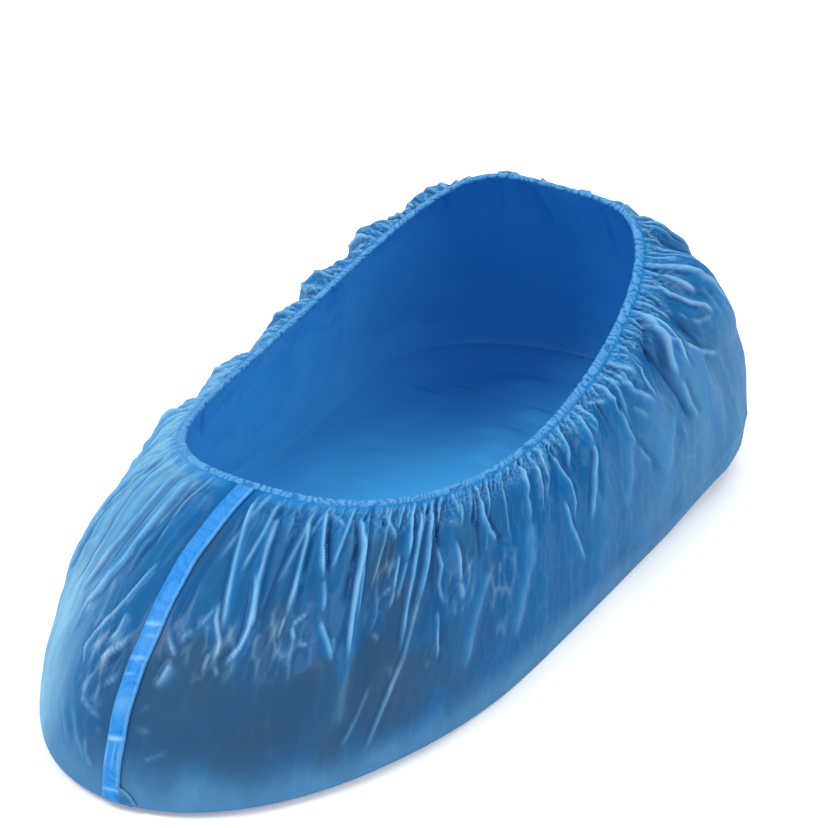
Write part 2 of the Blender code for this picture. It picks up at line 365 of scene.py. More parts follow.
# From the toe round the +X side to the heel. In each row width and lift in millimetres, then the path's places,
# with around in ten-thousandths and down in thousandths
CREASE_ROWS: tuple[tuple[float, ...], ...] = (
    (0.8, 1.0, -354, 461, -373, 498, -393, 532), (0.6, 0.6, -206, 701, -157, 717, -78, 733),
    (0.9, 1.0, -143, 441, -141, 496, -175, 536), (0.8, 0.6, -139, 805, -123, 858, -83, 909),
    (0.6, 0.9, -127, 295, -177, 403, -258, 531, -278, 575, -256, 622), (0.7, 0.4, -102, 773, -74, 770, -41, 777),
    (0.6, -0.8, -79, 527, -131, 584, -202, 630), (0.7, 0.9, -66, 491, -99, 521, -183, 591),
    (0.6, 0.8, -62, 479, -101, 513, -141, 536), (0.6, -0.7, -60, 487, -94, 509, -128, 524),
    (0.6, 0.6, -58, 509, -38, 532, -16, 546), (0.7, 0.8, -34, 554, -66, 608, -111, 641),
    (0.7, 0.4, 29, 681, 73, 669, 109, 649), (0.7, 0.4, 41, 754, 67, 731, 137, 726),
    (0.6, 1.2, 52, 421, 44, 516, 34, 605), (0.6, 0.4, 53, 847, 67, 834, 80, 822),
    (0.7, 0.9, 60, 452, 102, 486, 137, 512), (0.5, 0.5, 60, 452, 68, 498, 77, 536),
    (1.0, -1.3, 110, 70, 118, 101, 130, 131), (0.8, 0.9, 115, 50, 139, 95, 159, 133),
    (0.7, 0.4, 115, 824, 162, 798, 204, 775), (1.5, 1.3, 125, 528, 115, 574, 90, 605),
    (1.1, 0.9, 170, 434, 142, 449, 127, 474), (0.8, -1.0, 195, 47, 207, 58, 222, 71),
    (0.6, 0.6, 216, 361, 198, 391, 182, 421), (0.7, 0.9, 220, 346, 234, 389, 280, 451, 284, 479, 271, 499),
    (0.7, 0.7, 257, 479, 256, 509, 251, 542), (1.1, -1.5, 265, 47, 309, 168, 322, 260),
    (0.9, 1.3, 273, 62, 320, 203, 345, 282, 378, 380, 364, 429), (0.6, 0.5, 281, 514, 299, 529, 312, 544),
    (0.8, 1.2, 320, 254, 356, 333, 372, 410, 361, 457, 323, 512), (0.8, -1.0, 359, 34, 371, 60, 388, 91),
    (0.8, 1.0, 444, 70, 475, 128, 496, 208, 510, 284, 510, 356), (1.2, -1.4, 472, 50, 505, 143, 536, 253),
    (0.7, 0.7, 510, 356, 506, 396, 506, 428), (0.7, 1.3, 510, 27, 565, 140, 631, 250),
    (0.6, 0.9, 524, 30, 602, 61, 648, 90), (0.9, -1.0, 536, 253, 543, 311, 549, 364),
    (0.9, -1.6, 538, 53, 603, 155, 638, 235), (0.6, 0.9, 548, 390, 561, 406, 576, 426),
    (0.6, 0.8, 549, 384, 576, 363, 604, 345), (0.5, -0.6, 592, 423, 620, 427, 649, 436),
    (0.6, 0.8, 596, 431, 623, 436, 652, 443), (0.8, 0.8, 631, 250, 658, 305, 675, 355),
    (0.8, 1.0, 668, 369, 718, 428, 763, 493), (1.0, -1.7, 693, 49, 741, 145, 751, 225),
    (0.9, 1.6, 722, 50, 780, 164, 796, 272, 812, 376, 834, 499), (1.0, 0.8, 744, 415, 752, 444, 760, 473),
    (0.9, -1.1, 751, 225, 757, 276, 765, 324), (0.6, 0.9, 773, 113, 813, 242, 848, 377),
    (0.7, -1.2, 858, 46, 868, 71, 878, 95), (0.6, 0.9, 863, 40, 924, 91, 985, 140),
    (0.6, 0.9, 891, 75, 940, 107, 987, 139), (0.8, 0.7, 949, 427, 973, 442, 996, 455),
    (0.6, 0.7, 968, 313, 995, 305, 1022, 298), (0.7, 1.0, 1021, 194, 1026, 250, 1030, 323),
    (0.8, 1.0, 1030, 305, 1029, 337, 1019, 363), (0.8, 0.9, 1036, 24, 1067, 120, 1079, 220),
    (0.7, -1.2, 1066, 46, 1075, 100, 1083, 143), (0.9, 0.8, 1079, 220, 1068, 285, 1057, 350),
    (1.4, 1.6, 1193, 63, 1204, 160, 1206, 259, 1197, 314, 1190, 374), (0.7, -1.4, 1232, 50, 1252, 147, 1278, 214),
    (0.5, 0.8, 1253, 44, 1257, 87, 1259, 127), (0.6, 0.9, 1263, 211, 1304, 278, 1301, 342, 1319, 375, 1344, 406),
    (0.6, 0.6, 1308, 128, 1355, 139, 1392, 152), (0.8, 1.0, 1371, 214, 1404, 281, 1424, 362),
    (0.7, 0.7, 1392, 61, 1398, 136, 1398, 179), (1.2, 0.9, 1424, 362, 1435, 395, 1447, 432),
    (0.9, -1.4, 1498, 68, 1509, 164, 1591, 214), (1.1, 1.4, 1568, 84, 1578, 154, 1637, 220, 1688, 259, 1734, 294),
    (0.7, 0.5, 1626, 251, 1621, 284, 1605, 309), (1.3, -1.4, 1639, 167, 1717, 259, 1788, 323),
    (0.6, 0.15, 1679, 459, 1748, 480, 1807, 496), (0.9, 0.3, 1749, 370, 1741, 401, 1730, 426),
    (0.5, 0.15, 1751, 333, 1830, 359, 1910, 384), (0.8, 0.2, 1836, 389, 1839, 416, 1841, 441),
    (0.7, 0.15, 1850, 466, 1833, 481, 1807, 493), (0.8, 1.0, 1938, 13, 1970, 122, 1986, 205),
    (0.8, 0.8, 1944, 51, 1971, 166, 1972, 302), (1.2, 0.8, 1986, 205, 1977, 263, 1964, 312),
    (0.8, 1.0, 2135, 4, 2128, 115, 2162, 205), (0.8, -1.0, 2138, 46, 2138, 135, 2179, 210),
    (0.7, 1.0, 2271, 111, 2293, 190, 2351, 282, 2373, 374, 2383, 457), (1.2, -1.5, 2319, 67, 2358, 172, 2386, 282),
    (1.0, -1.0, 2386, 282, 2401, 328, 2409, 365), (0.9, 1.2, 2584, 44, 2574, 127, 2591, 219),
    (1.0, 1.3, 2591, 219, 2595, 274, 2558, 332, 2531, 417, 2511, 511), (0.5, 0.9, 2604, 126, 2626, 163, 2664, 198),
    (2.0, -1.6, 2642, 221, 2627, 338, 2599, 469), (0.7, 0.8, 2743, 59, 2825, 97, 2891, 142),
    (0.9, 1.2, 2918, 0, 2910, 125, 2963, 214), (1.4, -1.3, 2939, 143, 2974, 226, 2996, 287),
    (3.0, 0.9, 2944, 346, 2919, 460, 2851, 625), (1.4, 1.2, 2963, 214, 2953, 314, 2994, 409),
    (1.0, 0.8, 2994, 409, 3036, 464, 3082, 516), (0.6, 0.9, 3008, 61, 3010, 99, 3022, 139),
    (1.0, 0.7, 3041, 251, 3078, 291, 3114, 338), (0.5, 0.7, 3083, 189, 3098, 213, 3122, 229),
    (0.6, 0.8, 3100, 91, 3085, 110, 3072, 131), (0.6, 1.0, 3107, 87, 3077, 133, 3083, 189),
    (0.7, 1.0, 3253, 108, 3196, 168, 3194, 225, 3216, 267, 3239, 303), (0.7, 0.8, 3253, 86, 3211, 129, 3204, 182),
    (0.6, 0.25, 3321, 599, 3407, 632, 3474, 657), (3.2, 0.9, 3336, 413, 3279, 465, 3136, 595),
    (0.6, 0.15, 3366, 649, 3422, 670, 3473, 688), (1.5, 0.6, 3371, 475, 3382, 517, 3386, 557),
    (2.0, -1.8, 3404, 129, 3414, 249, 3440, 380, 3454, 444, 3461, 503), (1.2, 1.2, 3488, 339, 3489, 434, 3510, 514),
    (1.3, -1.2, 3510, 110, 3467, 198, 3443, 286), (0.7, 0.8, 3536, 113, 3530, 174, 3621, 246),
    (1.5, -1.4, 3574, 43, 3426, 131, 3355, 240), (0.5, 0.5, 3591, 242, 3599, 269, 3592, 283),
    (0.9, 1.4, 3598, 50, 3536, 113, 3507, 209, 3487, 263, 3477, 333), (0.8, 1.1, 3621, 246, 3707, 310, 3872, 414),
    (1.0, 0.8, 3742, 62, 3717, 76, 3683, 85), (0.7, 0.8, 3752, 131, 3731, 145, 3710, 158),
    (0.7, 0.8, 3777, 176, 3780, 197, 3786, 219), (0.7, 0.6, 3801, 227, 3838, 261, 3930, 290),
    (0.8, 1.1, 3876, 57, 3842, 106, 3873, 197, 3919, 241, 3930, 290), (0.8, 1.0, 3960, 70, 3946, 115, 3934, 198),
    (1.0, 1.2, 4035, 149, 4020, 184, 4052, 253), (1.0, 0.8, -575, 50, -572, 300, -560, 580),
    (1.1, 1.1, -297, 30, -300, 300, -350, 400, -455, 600), (0.8, 0.7, -270, 30, -262, 120, -268, 220),
    (1.1, 0.9, -430, 40, -440, 250, -520, 500), (0.8, 0.8, -750, 40, -760, 250, -740, 500),
    (0.8, -0.8, -660, 40, -655, 250, -640, 500), (0.8, -0.9, -200, 30, -215, 200, -250, 380),
    (0.9, -0.9, -360, 40, -370, 220, -420, 420), (1.4, 0.5, -330, 740, -280, 800, -230, 870),
    (1.4, 0.5, -240, 740, -180, 820, -110, 900), (1.3, -1.2, 85, 20, 85, 250, 75, 460),
    (0.8, 1.0, 105, 20, 190, 200, 240, 320, 275, 420), (0.8, 0.7, 240, 20, 262, 140, 250, 260),
    (1.1, -0.9, 400, 30, 415, 200, 420, 400), (3.0, 0.7, 838, 440, 845, 580, 850, 720),
    (0.9, 0.8, 1120, 50, 1125, 280, 1118, 520), (1.2, -0.9, 1165, 40, 1165, 250, 1140, 450),
    (0.9, 0.6, 1190, 360, 1143, 540, 1055, 710, 990, 860), (0.8, 0.45, 980, 600, 935, 700, 875, 800),
    (0.7, 0.8, 1318, 430, 1330, 520, 1345, 600), (3.4, 1.3, 1654, 380, 1570, 500, 1505, 700),
    (3.6, 1.2, 1976, 300, 1946, 460, 1850, 720), (0.7, 0.7, 2070, 80, 2080, 200, 2078, 300),
    (0.9, 0.9, 2280, 340, 2350, 470, 2460, 660), (0.8, 0.8, 3075, 70, 3056, 130, 3088, 200, 3215, 310),
    (1.4, -0.9, 3000, 360, 3040, 440, 3125, 580), (1.2, -0.9, 3700, 50, 3730, 200, 3790, 400),
    (0.8, 0.9, 4010, 60, 4040, 200, 4080, 380), (0.9, 0.9, 4180, 40, 4200, 180, 4230, 360),
    (1.3, -1.0, 4300, 40, 4320, 200, 4330, 400), (0.9, 1.0, 4450, 40, 4440, 200, 4410, 420),
    (0.9, 0.8, 4620, 40, 4640, 200, 4680, 360), (1.4, -0.9, 4730, 40, 4760, 220, 4790, 420),
    (0.9, 1.0, 4880, 40, 4900, 240, 4930, 460),
)
CREASES: tuple[Crease, ...] = tuple(
    Crease(width, lift, tuple((around / 10000, down / 1000) for around, down in zip(places[::2], places[1::2])))
    for width, lift, *places in CREASE_ROWS
)

CRUMPLES: tuple[Crumple, ...] = (
    Crumple(-0.0165, 0.590, 0.0150, 0.140, 0.80),
    Crumple(0.0095, 0.500, 0.0080, 0.110, 0.70),
    Crumple(0.0270, 0.470, 0.0130, 0.120, 0.60),
    Crumple(0.0520, 0.430, 0.0190, 0.140, 0.60),
    Crumple(0.0950, 0.280, 0.0100, 0.170, 0.60),
    Crumple(0.1060, 0.590, 0.0080, 0.060, 0.40),
    Crumple(0.1320, 0.560, 0.0065, 0.080, 0.50),
    Crumple(0.1430, 0.360, 0.0120, 0.150, 0.55),
    Crumple(0.1760, 0.450, 0.0150, 0.120, 0.50),
    Crumple(0.1780, 0.620, 0.0120, 0.060, 0.40),
    Crumple(0.2100, 0.190, 0.0080, 0.130, 0.45),
    Crumple(0.2480, 0.220, 0.0100, 0.090, 0.35),
    Crumple(0.3140, 0.200, 0.0100, 0.110, 0.35),
    Crumple(0.3600, 0.200, 0.0120, 0.150, 0.40),
    Crumple(0.3930, 0.220, 0.0140, 0.170, 0.45),
)


Given = Optional[dict[str, Any]]


@dataclass
class Tree:
    """A node tree with one way to add a node and to link its sockets."""

    tree: bpy.types.NodeTree

    def find(self, sockets: Any, key: str) -> bpy.types.NodeSocket:
        """The socket with this identifier or name."""
        for socket in sockets:
            if socket.identifier == key:
                return socket
        return next(socket for socket in sockets if socket.name == key and socket.enabled)

    def node(self, kind: str, settings: Given = None, inputs: Given = None) -> bpy.types.Node:
        """Adds a node.

        Args:
            kind: the node's type.
            settings: its properties, which are set first.
            inputs: a value, a Number or a socket for each named input.

        Returns:
            The node.
        """
        made = self.tree.nodes.new(kind)
        for name, value in (settings or {}).items():
            setattr(made, name, value)
        self.feed(made, inputs or {})
        return made

    def feed(self, node: bpy.types.Node, inputs: dict[str, Any]) -> None:
        """Gives a value, a Number or a socket to each named input of a node."""
        for key, value in inputs.items():
            socket = self.find(node.inputs, key)
            if isinstance(value, Number):
                self.tree.links.new(value.socket, socket)
            elif isinstance(value, bpy.types.NodeSocket):
                self.tree.links.new(value, socket)
            else:
                socket.default_value = value

    def number(self, kind: str, output: str, settings: Given = None, inputs: Given = None) -> "Number":
        """One number output of a new node."""
        return Number(self, self.find(self.node(kind, settings, inputs).outputs, output))

    def mark(self, name: str) -> "Number":
        """A number that the piece carries on its points, for a shader."""
        return self.number("ShaderNodeAttribute", "Fac", {"attribute_name": name})

    def noise(self, dimensions: str, **inputs: Any) -> "Number":
        """Noise from 0 to 1, with its inputs by name."""
        return self.number("ShaderNodeTexNoise", "Fac", {"noise_dimensions": dimensions}, inputs)

    def math(self, operation: str, *values: Any) -> "Number":
        """A Math node on numbers and Numbers."""
        made = self.tree.nodes.new("ShaderNodeMath")
        made.operation = operation
        for socket, value in zip(made.inputs, values):
            if isinstance(value, Number):
                self.tree.links.new(value.socket, socket)
            else:
                socket.default_value = float(value)
        return Number(self, made.outputs["Value"])

    def mixed(self, share: "Number", first: Any, second: Any) -> bpy.types.NodeSocket:
        """Two colours mixed by a share."""
        mix = self.node(
            "ShaderNodeMix",
            {"data_type": "RGBA", "clamp_factor": True},
            {"Factor_Float": share, "A_Color": first, "B_Color": second},
        )
        return self.find(mix.outputs, "Result_Color")


@dataclass(frozen=True)
class Number:
    """A number socket that takes part in Python expressions."""

    owner: Tree
    socket: bpy.types.NodeSocket

    def __add__(self, other: Any) -> "Number":
        """The sum."""
        return self.owner.math("ADD", self, other)

    __radd__ = __add__

    def __sub__(self, other: Any) -> "Number":
        """The difference."""
        return self.owner.math("SUBTRACT", self, other)

    def __rsub__(self, other: Any) -> "Number":
        """The difference from a plain number."""
        return self.owner.math("SUBTRACT", other, self)

    def __mul__(self, other: Any) -> "Number":
        """The product."""
        return self.owner.math("MULTIPLY", self, other)

    __rmul__ = __mul__

    def __pow__(self, other: Any) -> "Number":
        """The power."""
        return self.owner.math("POWER", self, other)

    def __abs__(self) -> "Number":
        """The size without its sign."""
        return self.owner.math("ABSOLUTE", self)

    def clamped(self) -> "Number":
        """The value held between 0 and 1."""
        return self.owner.math("MINIMUM", self.owner.math("MAXIMUM", self, 0.0), 1.0)


Color = tuple[float, float, float, float]


def srgb(red: int, green: int, blue: int) -> Color:
    """A colour given on the usual scale of 255, as the shaders take it."""
    return tuple(((value / 255.0 + 0.055) / 1.055) ** 2.4 for value in (red, green, blue)) + (1.0,)


def blank_material(name: str) -> tuple[bpy.types.Material, Tree, bpy.types.Node]:
    """A new material, with its node tree and its shader."""
    made = bpy.data.materials.new(name)
    made.use_nodes = True
    return made, Tree(made.node_tree), made.node_tree.nodes["Principled BSDF"]


@dataclass(frozen=True)
class FilmFinish:
    """Thin blue film: glossy, with painted highlights along its creases, painted shade in its folds, painted light
    where it is lit and on its inner face, lighter blue where it is tucked, and grey where it is drawn thin.
    """

    name: str = "blue_film"
    blue: Color = srgb(14, 92, 150)
    # Painted light: the lighter colour laid where the lit mark lies.
    light: Color = srgb(126, 184, 214)
    # Lighter blue of doubled, tucked film, also used as a painted highlight on broad raised parts.
    tucked: Color = srgb(30, 122, 190)
    # Painted shade in folds, valleys and hollows.
    deep: Color = srgb(6, 56, 112)
    # Painted highlight along crests and crinkle lines.
    pale: Color = srgb(124, 186, 226)
    # Painted glints on the crests of crumpled patches.
    white: Color = srgb(188, 208, 220)
    sheer: Color = srgb(44, 78, 110)
    # Painted light on the inner face, standing in for light coming through the film.
    lining: Color = srgb(72, 168, 226)
    roughness: float = 0.28
    coat: float = 0.16
    coat_roughness: float = 0.12
    crinkle_across: float = 2.4 * MM
    crinkle_along: float = 11.0 * MM
    fine: float = 1.3 * MM
    relief: float = 0.35 * MM
    cloud_scale: float = 55.0

    def facets(self, tree: Tree, across: float, along: float) -> Number:
        """Height of small creased facets on the piece's own map.

        Args:
            tree: the shader tree.
            across: a facet's size round the cover.
            along: a facet's size down the wall.

        Returns:
            The height, highest along the creases.
        """
        place = tree.node("ShaderNodeUVMap", {"uv_map": "film"})
        mapping = tree.node(
            "ShaderNodeMapping", {}, {"Vector": place.outputs["UV"], "Scale": (1.0 / across, 1.0 / along, 1.0)}
        )
        warp = tree.node(
            "ShaderNodeTexNoise", {"noise_dimensions": "2D"}, {"Vector": mapping.outputs["Vector"], "Scale": 0.6}
        )
        bent = tree.node(
            "ShaderNodeVectorMath",
            {"operation": "ADD"},
            {"Vector": mapping.outputs["Vector"], "Vector_001": warp.outputs["Color"]},
        )
        cells = tree.number(
            "ShaderNodeTexVoronoi",
            "Distance",
            {"voronoi_dimensions": "2D", "feature": "F1"},
            {"Vector": bent.outputs["Vector"], "Scale": 1.0},
        )
        return cells * cells

    def material(self) -> bpy.types.Material:
        """Builds the material.

        Returns:
            The finished material.
        """
        made, tree, shader = blank_material(self.name)
        crest, valley, sheer, crumpled, tucked, lit, inside = (tree.mark(name) for name in (*MARKS, "inside"))
        drawn = self.facets(tree, self.crinkle_across, self.crinkle_along)
        fine = self.facets(tree, self.fine, 1.8 * self.fine)
        place = tree.node("ShaderNodeTexCoord").outputs["Object"]
        cloud = tree.noise("3D", Vector=place, Scale=self.cloud_scale, Detail=6.0, Roughness=0.62)
        loose = 1.0 - 0.65 * sheer
        # Pale lines along the facets' creases, for a painted highlight.
        lines = (2.0 * drawn - 0.9).clamped() * loose * 0.25 + (1.6 * fine - 0.6).clamped() * crumpled * 0.5
        # Painted light where the lit mark lies, varied by the cloud noise.
        base = tree.mixed((lit * (0.60 + 0.8 * cloud)).clamped(), self.blue, self.light)
        base = tree.mixed((sheer * (0.50 + 0.85 * cloud)).clamped(), base, self.sheer)
        # Doubled, tucked film, and painted highlight on broad raised parts.
        base = tree.mixed(0.70 * tucked, base, self.tucked)
        # Painted shade in valleys, plus a random darker tone from the cloud noise.
        base = tree.mixed((0.85 * valley + 0.35 * (0.55 - cloud)).clamped(), base, self.deep)
        # Painted highlight on crests and crinkle lines, and brighter painted glints on crumpled crests.
        base = tree.mixed((0.72 * crest + 0.16 * lines).clamped(), base, self.pale)
        base = tree.mixed((0.50 * crumpled * crest).clamped(), base, self.white)
        # Painted light on the inner face, standing in for light coming through the film.
        base = tree.mixed(inside, base, self.lining)
        height = drawn * (0.13 * loose) + fine * (0.04 + 0.36 * crumpled)
        bump = tree.node("ShaderNodeBump", {}, {"Height": height, "Distance": self.relief, "Strength": 1.0})
        inputs = {
            "Base Color": base,
            "Roughness": self.roughness + 0.10 * sheer - 0.08 * crest,
            "Normal": bump.outputs["Normal"],
            "Coat Weight": self.coat,
            "Coat Roughness": self.coat_roughness,
            "Specular IOR Level": 0.0,
        }
        tree.feed(shader, inputs)
        return made


@dataclass(frozen=True)
class TrimFinish:
    """Doubled film, as on the hem and the welded strip: more opaque, with painted highlights on its puckers and
    creases and painted shade between the puckers.
    """

    name: str
    blue: Color
    # pale: painted highlight on pucker crests and creases.
    pale: Color
    # deep: painted shade between the puckers.
    deep: Color
    roughness: float
    film: Color = srgb(34, 100, 152)
    gloss: Color = (0.50, 0.78, 1.0, 1.0)
    gloss_level: float = 0.15
    coat: float = 0.10
    coat_roughness: float = 0.12
    # How strong the painted highlight on puckers and crinkle lines is.
    shine: float = 0.40
    grain: float = 900.0
    relief: float = 0.12 * MM

    def material(self) -> bpy.types.Material:
        """Builds the material.

        Returns:
            The finished material.
        """
        made, tree, shader = blank_material(self.name)
        place = tree.node("ShaderNodeTexCoord").outputs["Object"]
        noise = tree.noise("3D", Vector=place, Scale=self.grain, Detail=3.0, Distortion=0.4)
        puckers, highlight_line, lobe = (tree.mark(name) for name in ("pucker", "highlight_line", "lobe"))
        lines = (1.0 - abs(2.0 * noise - 1.0)) ** 5.0
        # Painted shade in the pucker valleys, blue on their crests.
        base = tree.mixed((1.4 * puckers * (0.30 + 0.9 * lines)).clamped(), self.deep, self.blue)
        base = tree.mixed(lobe, base, self.film)
        # Painted highlight on pucker crests and crinkle lines, and along creases, edges and the lip.
        bright = tree.mixed((self.shine * (puckers ** 4.0 + 0.4 * lines) + highlight_line).clamped(), base, self.pale)
        bump = tree.node("ShaderNodeBump", {}, {"Height": lines, "Distance": self.relief, "Strength": 0.7})
        inputs = {
            "Base Color": bright,
            "Roughness": self.roughness + 0.1 * noise,
            "Normal": bump.outputs["Normal"],
            "Coat Weight": self.coat,
            "Coat Roughness": self.coat_roughness,
            "Specular Tint": self.gloss,
            "Specular IOR Level": self.gloss_level,
        }
        tree.feed(shader, inputs)
        return made


class Quarter(Enum):
    """The film's quarters, from the toe strip round by the +X side."""

    FRONT_RIGHT = "film_front_right"
    REAR_RIGHT = "film_rear_right"
    REAR_LEFT = "film_rear_left"
    FRONT_LEFT = "film_front_left"


def new_object(name: str, data: Any) -> bpy.types.Object:
    """A new object of this data, linked to the scene."""
    item = bpy.data.objects.new(name, data)
    bpy.context.scene.collection.objects.link(item)
    return item


def mesh_object(
    name: str,
    points: np.ndarray,
    faces: np.ndarray,
    marks: dict[str, np.ndarray],
    uv: Optional[np.ndarray] = None,
    normals: Optional[np.ndarray] = None,
) -> bpy.types.Object:
    """Makes a smooth-shaded object of points and four-cornered faces.

    Args:
        name: the object's name.
        points: one row of three for each point.
        faces: one row of four point numbers for each face.
        marks: a number on each point under each name.
        uv: two map values on each point.
        normals: the direction that each point's surface faces.

    Returns:
        The object, linked to the scene.
    """
    mesh = bpy.data.meshes.new(name)
    mesh.from_pydata(points.tolist(), [], faces.tolist())
    for key, values in marks.items():
        mesh.attributes.new(key, "FLOAT", "POINT").data.foreach_set("value", values.astype(np.float32))
    if uv is not None:
        layer = mesh.uv_layers.new(name="film")
        corners = np.empty(len(mesh.loops), np.int32)
        mesh.loops.foreach_get("vertex_index", corners)
        layer.data.foreach_set("uv", uv[corners].astype(np.float32).ravel())
    if normals is not None:
        mesh.attributes.new("facing", "FLOAT_VECTOR", "POINT").data.foreach_set(
            "vector", normals.astype(np.float32).ravel()
        )
    work = bmesh.new()
    work.from_mesh(mesh)
    bmesh.ops.remove_doubles(work, verts=work.verts, dist=2e-6)
    work.to_mesh(mesh)
    work.free()
    mesh.shade_smooth()
    if normals is not None:
        facing = np.empty(3 * len(mesh.vertices), np.float32)
        mesh.attributes["facing"].data.foreach_get("vector", facing)
        mesh.normals_split_custom_set_from_vertices(facing.reshape(-1, 3).tolist())
        mesh.attributes.remove(mesh.attributes["facing"])
    return new_object(name, mesh)


def made_plain(item: bpy.types.Object) -> None:
    """Puts what an object's modifiers make into its mesh, and removes them."""
    graph = bpy.context.evaluated_depsgraph_get()
    mesh = bpy.data.meshes.new_from_object(item.evaluated_get(graph), depsgraph=graph)
    item.modifiers.clear()
    old = item.data
    item.data = mesh
    mesh.name = item.name
    bpy.data.meshes.remove(old)


def turn_outward(item: bpy.types.Object) -> None:
    """Turns the faces of a closed mesh outwards."""
    work = bmesh.new()
    work.from_mesh(item.data)
    bmesh.ops.recalc_face_normals(work, faces=work.faces)
    work.to_mesh(item.data)
    work.free()


